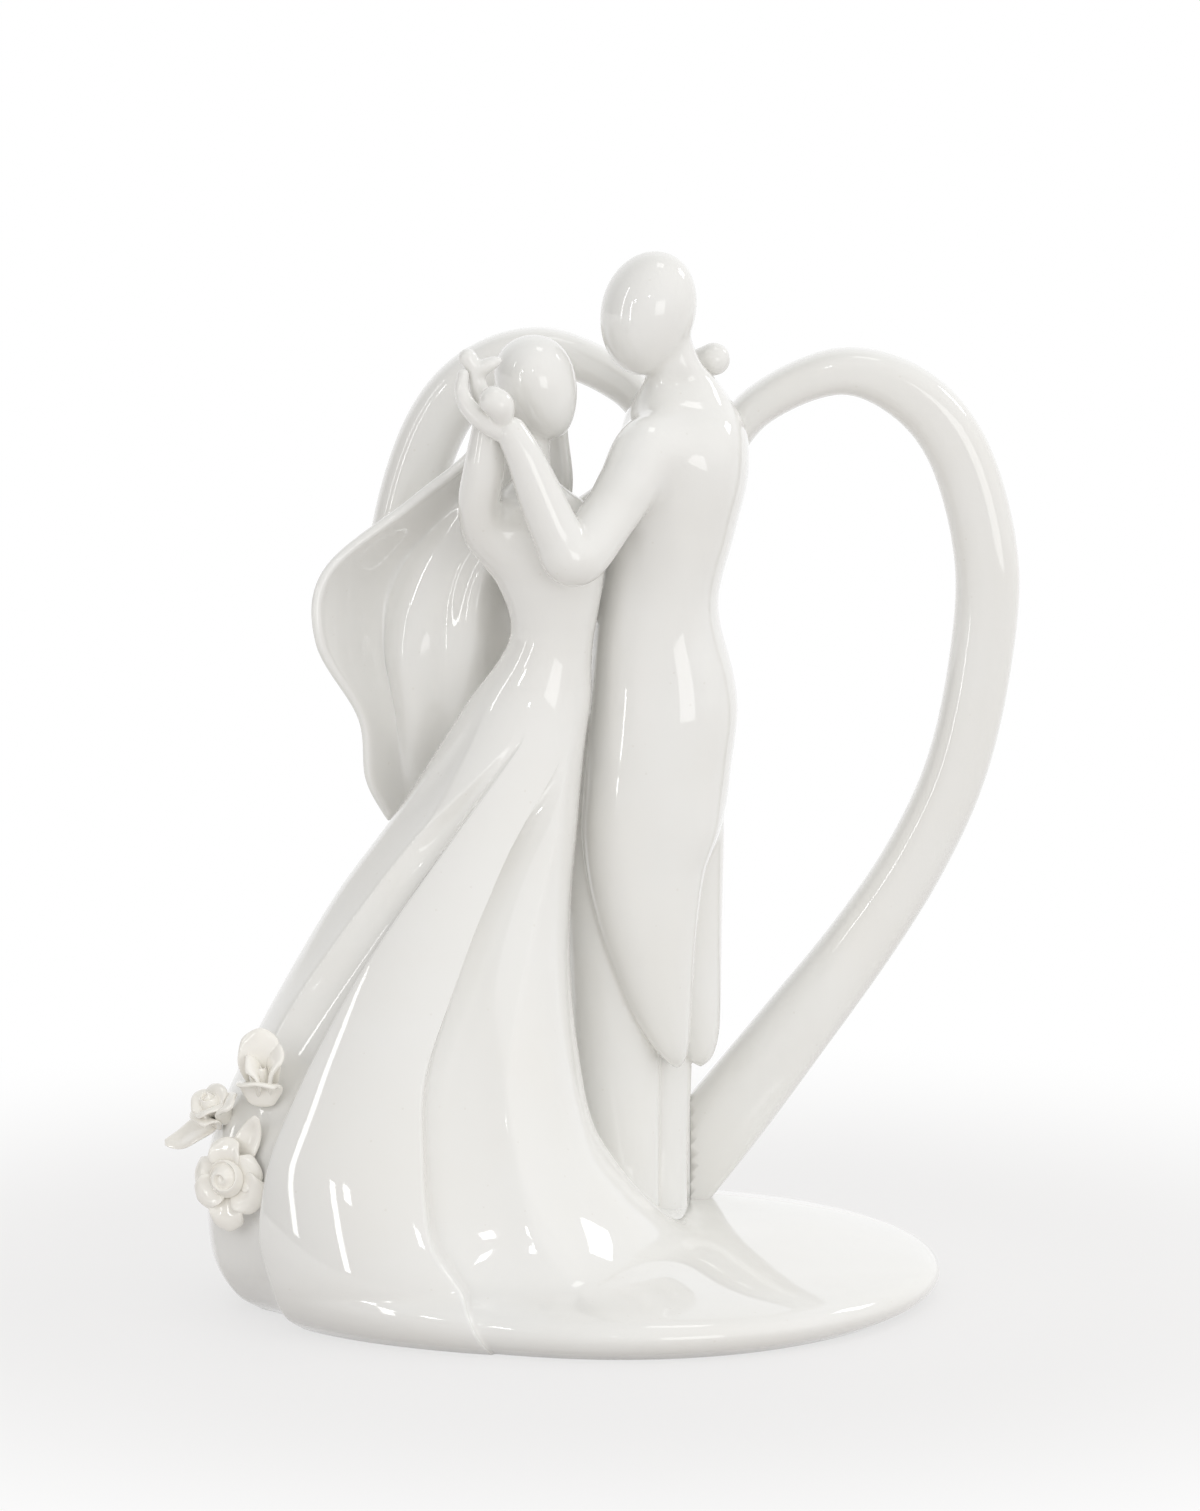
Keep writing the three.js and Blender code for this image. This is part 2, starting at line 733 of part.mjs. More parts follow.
// Angles round the gown at one height. They run along the folds, with a corner on each fold's line.
function ringAngles(height) {
  const at = (z) => {
    const lines = foldAngles.map((angle) => angle(z)[0]);
    return [...lines, lines[0] + 360];
  };
  const evenly = at(0);
  const lines = at(drawnHeight(height));
  return FOLDS.flatMap((_, i) => {
    const count = Math.ceil((evenly[i + 1] - evenly[i]) / FOLD_SIDE);
    return Array.from({ length: count }, (_, s) => THREE.MathUtils.lerp(lines[i], lines[i + 1], s / count));
  });
}

function gownCavity() {
  const inner = ([z, left, right, front, back]) => [z, left + WALL, right - WALL, front + WALL, back - WALL];
  const rows = skirtRows.filter(([z]) => z > FLOOR && z < CAVITY_TOP).map(inner);
  return column([[FLOOR, ...rows[0].slice(1)], ...rows], CAVITY_SIDES, 1, gownSwell);
}

function drainHole() {
  const hole = new THREE.CylinderGeometry(DRAIN_RADIUS, DRAIN_RADIUS, 2 * FLOOR, DRAIN_SIDES);
  hole.rotateX(Math.PI / 2);
  hole.translate(...DRAIN_AT, FLOOR / 2);
  return hole;
}

const gownBody = loft(ringHeights().map((z) => ringAngles(z).map((angle) => gownPoint(angle, z))));
const gown = hollowed(gownBody, gownCavity(), drainHole());

// Bride and groom

const bodiceBody = column(raised(BODICE, onBride), BODICE_SIDES, 1);
const coatBodies = [COAT, NEAR_TAIL, FAR_TAIL].map((rows) =>
  column(raised(rows, onGroom), COAT_SIDES, 1, () => 0, COAT_SQUARENESS),
);
const groomLeftArmBody = limb(posed(GROOM_LEFT_ARM, onGroom, onBride));
const groomRightArmBody = limb(posed(GROOM_RIGHT_ARM, onGroom, onBride));
const groomRightHandBody = limb(posed(GROOM_RIGHT_HAND, onBride), WRIST_SIDES);
const brideRightArmBody = limb(posed(BRIDE_RIGHT_ARM, onBride));
const brideLeftArmBody = limb(posed(BRIDE_LEFT_ARM, onBride, onGroom));
const brideLeftHandBody = limb(posed(BRIDE_LEFT_HAND, onGroom), WRIST_SIDES);
const brideHeadBody = column(raised(BRIDE_HEAD, onBride), HEAD_SIDES, 2);
const groomHeadBody = column(raised(GROOM_HEAD, onGroom), HEAD_SIDES, 2);
const leftLegBody = column(raised(LEFT_LEG, onGroom), LEG_SIDES, 1);
const rightLegBody = column(raised(RIGHT_LEG, onGroom), LEG_SIDES, 1);

function hand(...fingers) {
  return joined(...fingers.map((rows) => limb(posed(rows, onBride), HAND_SIDES)));
}
const groomLeftHandBody = hand(GROOM_LEFT_PALM, GROOM_LEFT_THUMB);
const brideRightHandBody = hand(BRIDE_RIGHT_PALM, BRIDE_RIGHT_FINGERS);

const bride = {
  bride_bodice: lutedTo(bodiceBody, gownBody),
  bride_head: lutedTo(brideHeadBody, bodiceBody),
  bride_right_arm: lutedTo(brideRightArmBody, bodiceBody),
  bride_left_arm: lutedTo(brideLeftArmBody, bodiceBody, ...coatBodies),
  bride_right_hand: lutedTo(
    brideRightHandBody,
    brideRightArmBody,
    groomLeftHandBody,
    groomLeftArmBody,
    brideHeadBody,
  ),
  bride_left_hand: lutedTo(brideLeftHandBody, brideLeftArmBody, ...coatBodies),
};

const groom = {
  groom_coat: lutedTo(joined(...coatBodies), gownBody, bodiceBody),
  groom_head: lutedTo(groomHeadBody, ...coatBodies),
  groom_left_leg: lutedTo(leftLegBody, gownBody, ...coatBodies),
  groom_right_leg: lutedTo(rightLegBody, gownBody, ...coatBodies, leftLegBody),
  groom_left_arm: lutedTo(groomLeftArmBody, ...coatBodies, bodiceBody, brideRightArmBody, brideHeadBody),
  groom_left_hand: lutedTo(groomLeftHandBody, groomLeftArmBody, brideRightArmBody, brideHeadBody),
  groom_right_arm: lutedTo(groomRightArmBody, ...coatBodies, bodiceBody, gownBody, brideLeftArmBody),
  groom_right_hand: lutedTo(groomRightHandBody, groomRightArmBody, bodiceBody, gownBody),
};

// Heart

const drawnHeartTop = Math.max(...HEART_HALF.map((row) => row[1]));
const drawnHeartSide = Math.max(...HEART_HALF.map((row) => row[0]));

function heartHalf(side) {
  const across = HEART_WIDTH / (2 * drawnHeartSide);
  const up = HEART_HEIGHT / drawnHeartTop;
  const shaped = ([x, z]) => {
    const lobe = side < 0 ? THREE.MathUtils.smoothstep(z, LOBE_FOOT, LOBE_TOP) : 0;
    const narrowed = x * THREE.MathUtils.lerp(1, LEFT_LOBE_WIDTH, lobe);
    return new THREE.Vector3(narrowed * across, 0, z * up + LEFT_LOBE_LIFT * lobe);
  };
  const line = new THREE.CatmullRomCurve3(HEART_HALF.map(shaped));
  const width = splined(HEART_HALF.map((row) => [row[2]]));
  const steps = (HEART_HALF.length - 1) * BAND_STEPS;
  const rings = Array.from({ length: steps + 1 }, (_, i) => {
    const at = line.getPoint(i / steps);
    const along = line.getTangent(i / steps);
    const inward = new THREE.Vector3(along.z, 0, -along.x);
    const [band] = width(i / BAND_STEPS);
    return Array.from({ length: BAND_SIDES }, (_, s) => {
      const [a, b] = bandPoint((2 * Math.PI * s) / BAND_SIDES);
      return at.clone().addScaledVector(inward, (a * band) / 2).setY((b * HEART_DEPTH) / 2);
    });
  });
  const half = loft(rings);
  const otherSide = new THREE.BoxGeometry(HEART_WIDTH, 2 * HEART_DEPTH, 2 * HEART_HEIGHT);
  otherSide.translate(SLIP / 2 - HEART_WIDTH / 2, 0, HEART_HEIGHT);
  const trimmed = hollowed(half, otherSide);
  if (side < 0) trimmed.rotateZ(Math.PI);
  return trimmed.translate(HEART_X, HEART_Y, 0);
}

// One point of the band's rounded section, on a unit square.
function bandPoint(angle) {
  const power = (value) => Math.sign(value) * Math.abs(value) ** BAND_ROUNDNESS;
  return [power(Math.cos(angle)), power(Math.sin(angle))];
}

const heartBodies = { heart_left_half: heartHalf(-1), heart_right_half: heartHalf(1) };
function setInHeartPlace([name, half]) {
  return [name, lutedTo(half, gownBody, ...coatBodies, groomRightArmBody, brideLeftArmBody)];
}
const heart = Object.fromEntries(Object.entries(heartBodies).map(setInHeartPlace));

// Veil

const veilRows = splined(VEIL.map((row) => row.flat()));
function veilPoint(across, along) {
  const row = veilRows(along * (VEIL.length - 1));
  const points = VEIL[0].map((_, i) => row.slice(3 * i, 3 * i + 3));
  const [x, y, z] = splined(points)(across * (points.length - 1));
  return new THREE.Vector3(x, y, onBride(z));
}

const veil = lutedTo(
  sheet(veilPoint, ...VEIL_STEPS, VEIL_THICKNESS),
  gownBody,
  bodiceBody,
  brideHeadBody,
  brideRightArmBody,
  brideRightHandBody,
  groomRightArmBody,
  groomRightHandBody,
  ...coatBodies,
  brideLeftArmBody,
  ...Object.values(heartBodies),
);

// Roses

function gownOutward(angle, height) {
  const round = gownPoint(angle + 6, height).sub(gownPoint(angle - 6, height));
  const up = gownPoint(angle, height + 4).sub(gownPoint(angle, height - 4));
  return round.cross(up).normalize();
}

function budProfile(scale) {
  const outline = [
    [0, -BUD_ROOT],
    [BUD_RADIUS * 0.9, -BUD_ROOT],
    [BUD_RADIUS * 0.8, 0],
    [BUD_RADIUS, BUD_HEIGHT * 0.4],
    [BUD_RADIUS * 0.86, BUD_HEIGHT * 0.7],
    [BUD_RADIUS * 0.5, BUD_HEIGHT * 0.95],
    [0, BUD_HEIGHT],
  ];
  const points = outline.map(([r, h]) => new THREE.Vector2(r * scale, h * scale));
  return new THREE.LatheGeometry(points, BUD_SIDES).rotateX(Math.PI / 2);
}

// A cupped petal that overlaps its neighbour like a vane: one edge rides over, the other goes under.
function outerPetal(turn, { petals, open, scale }) {
  const span = (PETAL_OVERLAP * 2 * Math.PI) / petals;
  const root = BUD_RADIUS + PETAL_THICKNESS;
  const length = PETAL_LENGTH * (ROSE_RADIUS - root);
  const rise = THREE.MathUtils.degToRad(THREE.MathUtils.lerp(...PETAL_RISE, open));
  const vane = PETAL_THICKNESS * 0.9;
  return sheet(
    (across, along) => {
      const u = 2 * across - 1;
      const slope = rise * (1 - 0.45 * along);
      const run = length * along * (1 - 0.2 * u * u * along);
      const reach = root + run * Math.cos(slope) + vane * u * Math.sin(rise);
      const angle = turn + (u * span * (0.7 + 0.3 * along)) / 2;
      const height = run * Math.sin(slope) + vane * u * Math.cos(rise);
      const at = new THREE.Vector3(reach * Math.cos(angle), reach * Math.sin(angle), height);
      return at.multiplyScalar(scale);
    },
    ...PETAL_STEPS,
    PETAL_THICKNESS * scale,
  );
}

function leafBlade(turn, scale) {
  return sheet(
    (across, along) => {
      const u = 2 * across - 1;
      const reach = BUD_RADIUS + PETAL_THICKNESS + along * ROSE_RADIUS * LEAF_LENGTH;
      const side = u * ROSE_RADIUS * LEAF_WIDTH * Math.sin(Math.PI * (0.14 + 0.8 * along)) ** 0.8;
      const height = 0.5 * u * u + 0.8 * along - LEAF_DROP;
      const at = new THREE.Vector3(reach, side, height).multiplyScalar(scale);
      return at.applyAxisAngle(new THREE.Vector3(0, 0, 1), turn);
    },
    ...LEAF_STEPS,
    PETAL_THICKNESS * scale,
  );
}

// A rose is set piece by piece, each cut back by the gown and by everything set before it.
function rose(place, earlier) {
  const { name, angle, facing, turn, scale, petals, leaf } = place;
  const height = onBride(place.height);
  const group = new THREE.Group();
  group.position.copy(gownPoint(angle, height)).addScaledVector(gownOutward(angle, height), ROSE_LIFT);
  group.quaternion.setFromUnitVectors(new THREE.Vector3(0, 0, 1), new THREE.Vector3(...facing).normalize());
  group.updateMatrix();
  const toRose = group.matrix.clone().invert();
  const around = [gownBody, ...earlier].map((body) => body.clone().applyMatrix4(toRose));
  const bodies = { [`${name}_bud`]: budProfile(scale) };
  for (let i = 0; i < petals; i++) {
    bodies[`${name}_petal_${i + 1}`] = outerPetal(THREE.MathUtils.degToRad(turn + (360 * i) / petals), place);
  }
  if (leaf !== null) bodies[`${name}_leaf`] = leafBlade(THREE.MathUtils.degToRad(leaf), scale);
  const inOrder = Object.values(bodies);
  const cutBack = ([piece, body], i) => [piece, lutedTo(body, ...around, ...inOrder.slice(0, i))];
  const pieces = Object.fromEntries(Object.entries(bodies).map(cutBack));
  earlier.push(...Object.values(bodies).map((body) => body.clone().applyMatrix4(group.matrix)));
  group.add(...meshes(pieces, petalGlaze));
  return group;
}

// The assembly

function meshes(pieces, material) {
  return Object.entries(pieces).map(([name, geometry]) => {
    const mesh = new THREE.Mesh(geometry, material);
    mesh.name = name;
    return mesh;
  });
}

const topper = new THREE.Group();
topper.add(...meshes({ gown, veil, ...bride, ...groom, ...heart }, glaze));
const rosesSet = [];
topper.add(...ROSES.map((place) => rose(place, rosesSet)));

export default topper;
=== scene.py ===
import json
import math

import bmesh
import bpy
import numpy as np
from mathutils import Matrix, Vector

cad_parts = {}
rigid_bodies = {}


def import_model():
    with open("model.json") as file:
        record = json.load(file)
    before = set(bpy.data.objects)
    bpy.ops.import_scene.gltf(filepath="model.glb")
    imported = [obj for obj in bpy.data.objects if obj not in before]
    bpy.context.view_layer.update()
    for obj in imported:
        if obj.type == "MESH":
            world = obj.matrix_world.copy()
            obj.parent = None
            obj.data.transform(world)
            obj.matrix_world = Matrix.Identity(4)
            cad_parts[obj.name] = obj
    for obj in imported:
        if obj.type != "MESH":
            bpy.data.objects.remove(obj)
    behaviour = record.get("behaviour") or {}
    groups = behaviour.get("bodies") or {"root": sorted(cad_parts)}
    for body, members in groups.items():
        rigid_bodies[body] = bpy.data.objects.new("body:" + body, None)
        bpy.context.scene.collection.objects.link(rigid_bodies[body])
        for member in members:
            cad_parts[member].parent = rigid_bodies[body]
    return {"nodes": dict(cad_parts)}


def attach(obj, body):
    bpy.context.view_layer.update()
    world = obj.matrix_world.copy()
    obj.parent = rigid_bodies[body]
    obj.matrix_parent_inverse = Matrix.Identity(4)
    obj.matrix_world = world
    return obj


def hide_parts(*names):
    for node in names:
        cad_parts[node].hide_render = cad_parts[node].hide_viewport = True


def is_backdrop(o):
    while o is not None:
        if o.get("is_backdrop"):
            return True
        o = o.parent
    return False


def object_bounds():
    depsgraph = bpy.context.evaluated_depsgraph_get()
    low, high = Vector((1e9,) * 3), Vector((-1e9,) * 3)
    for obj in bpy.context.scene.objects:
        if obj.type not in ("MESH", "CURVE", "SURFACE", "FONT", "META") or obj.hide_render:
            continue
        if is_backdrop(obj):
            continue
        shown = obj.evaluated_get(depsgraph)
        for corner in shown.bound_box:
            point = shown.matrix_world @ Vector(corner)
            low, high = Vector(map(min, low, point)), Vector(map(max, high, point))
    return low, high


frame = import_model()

bl_info = {
    "name": "Porcelain Cake Topper",
    "version": (1, 0, 0),
    "blender": (4, 5, 0),
    "location": "View3D > Sidebar > Topper",
    "description": "Builds a glazed porcelain couple dancing before an open heart",
    "category": "Object",
}

# All tables are in millimetres, +Z up, -Y towards the viewer, origin in the middle of the foot.
MM = 0.001

# Columns: each row is height, left, right, front and back of one oval section.
# The bride's column runs from the hem of the skirt to the neck. The train spreads out round its foot.

BRIDE_COLUMN = [
    [0, -63, 20, -50, 30],
    [3, -67.4, 21, -53.6, 31],
    [8, -70.8, 20.6, -56, 31],
    [14, -72.2, 17.6, -55.6, 30],
    [24, -72.4, 9.4, -52, 25.5],
    [35, -71.2, 2.6, -47, 21],
    [49, -65, -0.4, -40, 19],
    [65, -56.2, -2, -32, 17],
    [80, -47, -1.8, -25, 15],
    [95, -35.8, -0.4, -18, 12.5],
    [108, -27.2, 1, -12.6, 10],
    [117, -21.4, 2.2, -9, 8],
    [124, -16.2, 2.3, -7.6, 7],
    [129, -13.7, 2.7, -7.4, 6.6],
    [134, -13.8, 3.6, -8.2, 6.8],
    [140, -16.2, 4.6, -9.4, 7.4],
    [146, -19.6, 5, -10, 8],
    [151, -20.6, 4, -9.2, 8.2],
    [155, -18.5, 1.5, -7.5, 7.6],
    [158, -15, -2.5, -5.5, 6.4],
    [161, -12.6, -5.2, -4, 4.6],
    [165, -12, -5.8, -3.4, 3.6],
    [172, -12.2, -5.4, -3.4, 3.6],
]
WAIST = 120

# Gown and bodice overlap at the waist. Each is drawn in by the tuck where the other one covers it.

GOWN_TOP = WAIST + 6
BODICE_FOOT = WAIST - 3
WAIST_TUCK = 0.06
GOWN_TUCK = (BODICE_FOOT, GOWN_TOP)
BODICE_TUCK = (WAIST + 3, WAIST - 6)

TRAIN = [
    [0, -50, 66, -62, 60],
    [2, -53, 69.6, -65, 62.5],
    [4.6, -54, 70.6, -66, 63],
    [7, -53, 68, -64.6, 60.4],
    [8.6, -50, 60, -61, 54],
    [9.8, -44, 48, -56, 46],
    [11, -36, 32, -51, 36],
    [12.6, -30, 19, -46, 26],
    [15, -26, 10, -41, 17],
    [19, -22, 2, -34, 8],
    [26, -18, -6, -24, -1],
]
TRAIN_MIDDLE = (-12, -8)
TRAIN_FILLET = 18
TRAIN_FADE = (20, 34)

COAT = [
    [76, 6, 22, 1, 28],
    [86, 2, 26.6, -1.4, 30.2],
    [94, 0.2, 28.8, -2.2, 31],
    [102, 0, 29.8, -2.2, 31],
    [112, 0.8, 31, -2, 31],
    [120, 1.6, 30.2, -1.6, 30.5],
    [134, 2.8, 27.2, -1.6, 30],
    [148, 4.5, 30.4, -3, 32],
    [158, 6, 32.8, -4.4, 33.5],
    [165, 7.4, 33, -4.2, 33],
    [170, 8.6, 31.8, -1.5, 29.5],
    [174, 10.4, 29.4, 3, 24],
    [178, 12.6, 26.6, 5.6, 18.5],
    [182, 12.9, 23.4, 5.2, 15.5],
    [189, 12.6, 20.8, 5, 14.4],
]
NEAR_TAIL = [
    [41.6, 18.2, 20.4, 7, 11],
    [44, 16.4, 21, 4.6, 13],
    [48, 13.2, 21.6, 2.6, 14.4],
    [54, 9.6, 22, 1, 15],
    [62, 6.2, 22.4, -0.4, 15.6],
    [72, 3, 23.2, -1.6, 16],
    [82, 1, 24.6, -2.1, 16.5],
    [92, 0.3, 27.6, -2.2, 18],
    [104, 1.6, 27, -0.8, 18],
]
FAR_TAIL = [
    [39.6, 23, 25, 18.5, 21.5],
    [42.4, 20.5, 26.4, 16, 24],
    [47, 17, 27.6, 14.4, 27],
    [54, 13.6, 28, 13.6, 28.8],
    [64, 10, 28.1, 13, 30.2],
    [76, 6, 28.3, 12.5, 31],
    [90, 2, 28.5, 12, 31],
    [104, 3, 27.6, 11, 29.6],
]
COAT_SQUARENESS = 0.78
LEFT_LEG = [
    [5, 1.6, 15.8, 5.4, 19],
    [20, 0.4, 15.6, 5, 19],
    [40, -1.4, 15.8, 4.6, 19],
    [60, -2.2, 16, 3.8, 18.6],
    [80, -3, 16, 3.4, 18],
    [96, -2.5, 16, 4, 18],
    [112, -1.5, 16, 5, 18],
]
RIGHT_LEG = [
    [5, 9, 21.4, 14, 29],
    [20, 8.8, 21.4, 14, 29],
    [40, 8.6, 22.2, 13.6, 29],
    [60, 8, 23, 13, 29],
    [80, 7, 23, 13, 28.6],
    [96, 7, 22, 13, 27],
]

# Heads: middle, half sizes, how much wider the top is than the chin, and the axis's lean and bend along X.

BRIDE_HEAD = {
    "middle": (-8.35, -1.6, 178.2), "radii": (7.8, 8.05, 10),
    "taper": 0.13, "lean": -0.17, "bend": 0.012,
}
GROOM_HEAD = {
    "middle": (13.3, 9, 191.35), "radii": (9.3, 8.9, 12.05),
    "taper": 0.05, "lean": 0.11, "bend": 0,
}

# Limbs: each row is a point on the middle line and the radius there.

GROOM_LEFT_ARM = [
    [19, 6, 165, 7],
    [13.2, -1.5, 165.8, 6.5],
    [9.4, -5.6, 159.8, 5.9],
    [5.6, -8.8, 154, 5.5],
    [-0.8, -14.8, 146.8, 5.7],
    [-4, -15.8, 150.9, 4.9],
    [-7.2, -16.4, 158.2, 4.4],
    [-10.4, -17, 166.2, 3.6],
    [-13, -17.2, 171.2, 3],
]
GROOM_LEFT_PALM = [
    [-13, -17.2, 171, 2.7],
    [-17.6, -16.4, 173, 2.3],
    [-21, -15.6, 175.6, 1.8],
    [-22.5, -15, 179, 1.4],
    [-22.2, -14.6, 182, 1.1],
]
GROOM_LEFT_THUMB = [
    [-14.4, -18, 173.6, 1.8],
    [-15.2, -18.8, 176.4, 2.8],
    [-16.4, -18.8, 177.4, 2.8],
]
GROOM_RIGHT_ARM = [
    [22, 26, 163, 6.4],
    [17, 33, 154, 5.8],
    [6, 32, 143, 5.2],
    [-4, 21, 135, 4.4],
    [-8.4, 13.6, 132.4, 3.6],
]
GROOM_RIGHT_HAND = [
    [-7.4, 14.4, 132.8, 3],
    [-8.4, 9.8, 131.6, 2.8],
    [-9.4, 7.2, 131.6, 2.1],
]
BRIDE_RIGHT_ARM = [
    [-12, -1, 147.5, 4.4],
    [-17.6, -5.2, 150.4, 4.6],
    [-19.3, -9, 156.4, 4.1],
    [-18.3, -11.4, 163.4, 4],
    [-17.3, -12.2, 171, 3.4],
    [-17.2, -12.3, 174, 3],
]
BRIDE_RIGHT_PALM = [
    [-17.2, -12.2, 172, 2.6],
    [-18.8, -12.4, 177.6, 2],
    [-19.8, -12.8, 181, 1.6],
    [-20.3, -13, 183.2, 1.6],
    [-21.4, -13, 185, 1.8],
]
BRIDE_RIGHT_FINGERS = [
    [-19.6, -12.6, 181.6, 1.2],
    [-18.2, -13.2, 183.2, 1.5],
    [-16.6, -13.4, 184.1, 1.2],
    [-15.4, -13.4, 184.6, 0.6],
]
BRIDE_LEFT_ARM = [
    [-5, 2, 151, 4.4],
    [0.5, 8.5, 151, 4.3],
    [6.5, 15.5, 154.5, 4.1],
    [10, 20, 159, 3.8],
]
BRIDE_LEFT_HAND = [
    [14.6, 24.4, 171.4, 3.4],
    [19, 25, 175.6, 3.1],
    [23.4, 21.8, 179.8, 3],
    [26.2, 20, 181.2, 3.2],
]

# Limbs in the order in which they join a body, each with the reach of its fillet there.

HAND_FILLET = 0.8
BRIDE_LIMBS = ((BRIDE_LEFT_ARM, 2.5), (BRIDE_LEFT_HAND, HAND_FILLET), (BRIDE_RIGHT_ARM, 5.0))
GROOM_LIMBS = ((GROOM_LEFT_ARM, 4.5), (GROOM_RIGHT_ARM, 2.2), (GROOM_RIGHT_HAND, HAND_FILLET))
BRIDE_NECK_FILLET = 1.6
GROOM_NECK_FILLET = 1.0
THUMB_FILLET = 0.5
TAIL_CAP = 4.0
TAIL_CREASE = 0.5
TAIL_FILLET = 1.0
LEG_CREASE = 0.8
LEG_FILLET = 0.5

# Boxes that the figures are sampled in.

BRIDE_BOX = ((-26, -20, 111), (32, 30, 190))
GROOM_BOX = ((-19, -25, 3), (37, 43, 206))
GROOM_HAND_BOX = ((-28, -25, 165), (-8, -8, 188))

# Right half of the heart's middle line: across from the axis, height, and width of the band there.

HEART_HALF = [
    [-6, 146, 7.4],
    [4, 158, 7.6],
    [13.4, 170, 8],
    [29.5, 176.8, 9.2],
    [43.6, 172.2, 11.4],
    [53.4, 160, 12.4],
    [58.8, 139, 12.8],
    [57.6, 118, 12.6],
    [53, 97, 12.4],
    [45, 79, 12.6],
    [34.2, 62, 13.4],
    [19.6, 42.6, 15],
    [6, 25, 16.4],
    [-7, 9, 17],
]
HEART_X = 22
HEART_Y = 38
HEART_SEAM = 0.05
LEFT_LOBE_LIFT = 4
LEFT_LOBE_WIDTH = 0.965
LOBE_FOOT = 110
LOBE_TOP = 170

# Veil: rows from the bride's crown to the hem, each from the edge beside the neck round to the free edge.

VEIL = [
    [[-3.6, 5.6, 184], [-5.8, 7, 185.2], [-8, 7.8, 185.9],
     [-10.2, 7.7, 186], [-12.6, 6.4, 185.4], [-15, 3.6, 183]],
    [[-2.6, 8.4, 168.6], [-5.4, 11.2, 169.6], [-8.6, 13, 170.4],
     [-12, 13, 170.4], [-15.8, 11.6, 169], [-19.6, 7.4, 166]],
    [[-2.2, 9.6, 153.6], [-9, 14.5, 155], [-14, 16.5, 155.6],
     [-19, 16, 156], [-24.5, 15.5, 155.6], [-33, 8.5, 154.6]],
    [[-12, 20, 138], [-18.6, 11.8, 139], [-24, 14.4, 139.6],
     [-30.5, 15, 140], [-37, 18.5, 140.4], [-49.6, 4.5, 141.5]],
    [[-13, 20, 124], [-20, 11.6, 125], [-27, 13.4, 125.4],
     [-34.4, 13, 126], [-39.6, 17.4, 126.4], [-51.2, 3, 127.6]],
    [[-14.5, 18, 109.4], [-20.6, 14.2, 110], [-27, 13.8, 110],
     [-33, 13.2, 110.4], [-36.8, 15.4, 111], [-43.2, 8, 112]],
    [[-18, 17, 101], [-22.4, 15.6, 100.4], [-27.4, 16.8, 99.6],
     [-32, 15.4, 99.4], [-36, 15, 99.4], [-41.9, 10, 99.5]],
    [[-20.5, 17, 97], [-24, 16.8, 95.6], [-27.8, 17, 94],
     [-31.4, 16.4, 92.6], [-34.4, 15, 91.6], [-37.7, 11.5, 91]],
]
VEIL_RIM = 0.7

# Folds of the gown: their angle round the section at each of these heights (degrees, -90 faces the viewer),
# how far they stand out (less than 0 is a groove), how wide they are on either side of the line,
# the height where they end and over which they grow, and where they start if not at the hem.

FOLD_HEIGHTS = [0, 10, 20, 35, 50, 65, 80, 95, 110]
FOLD_DRAWN_AT = 35.0
FOLD_START = 0.35
FOLD_ROUNDING = 0.008
GOWN_FRONT = -100
GOWN_CROWDING = 0.5
RIDGE_ROUNDING = 1.5
FOOT_SHARES = (0.3, 0.7, 0.97)
FOLDS = [
    {"angles": [-290, -289, -287, -284, -278, -273, -268, -264, -260], "rise": -3.4, "reach": (19, 17),
     "top": 104, "fade": 50},
    {"angles": [-254, -253, -252, -250, -246, -242, -238, -234, -230], "rise": -4, "reach": (18, 16),
     "top": 108, "fade": 50},
    {"angles": [-218, -217, -216, -215, -212, -209, -206, -203, -200], "rise": -4, "reach": (19, 14),
     "top": 112, "fade": 50},
    {"angles": [-178, -176, -174, -170, -163, -156, -151, -148, -139], "rise": -1.3, "reach": (17, 19),
     "top": 119, "foot": 58, "fade": 24},
    {"angles": [-147, -145, -146, -140, -136, -131, -122.5, -111.5, -88], "rise": -4.6, "reach": (19, 8),
     "top": 113, "fade": 26},
    {"angles": [-79, -81.5, -84.5, -80, -81.5, -76.5, -71, -63, -40], "rise": -4.4, "reach": (3, 25),
     "top": 107, "fade": 20},
    {"angles": [-52, -53, -54.5, -54.5, -57, -60, -56, -47, -38], "rise": 2.4, "reach": (9, 24),
     "top": 113, "fade": 26},
]

# Roses: where each sits on the gown, the way it faces, how many solids its petals replace, and its parts.
# A part is its turn round the rose's face (degrees, 0 points right and 90 up as one looks at it), how far it
# leans out (degrees), its length and width as shares of the usual ones, and where its root lies:
# out from the rose's axis and up along it.

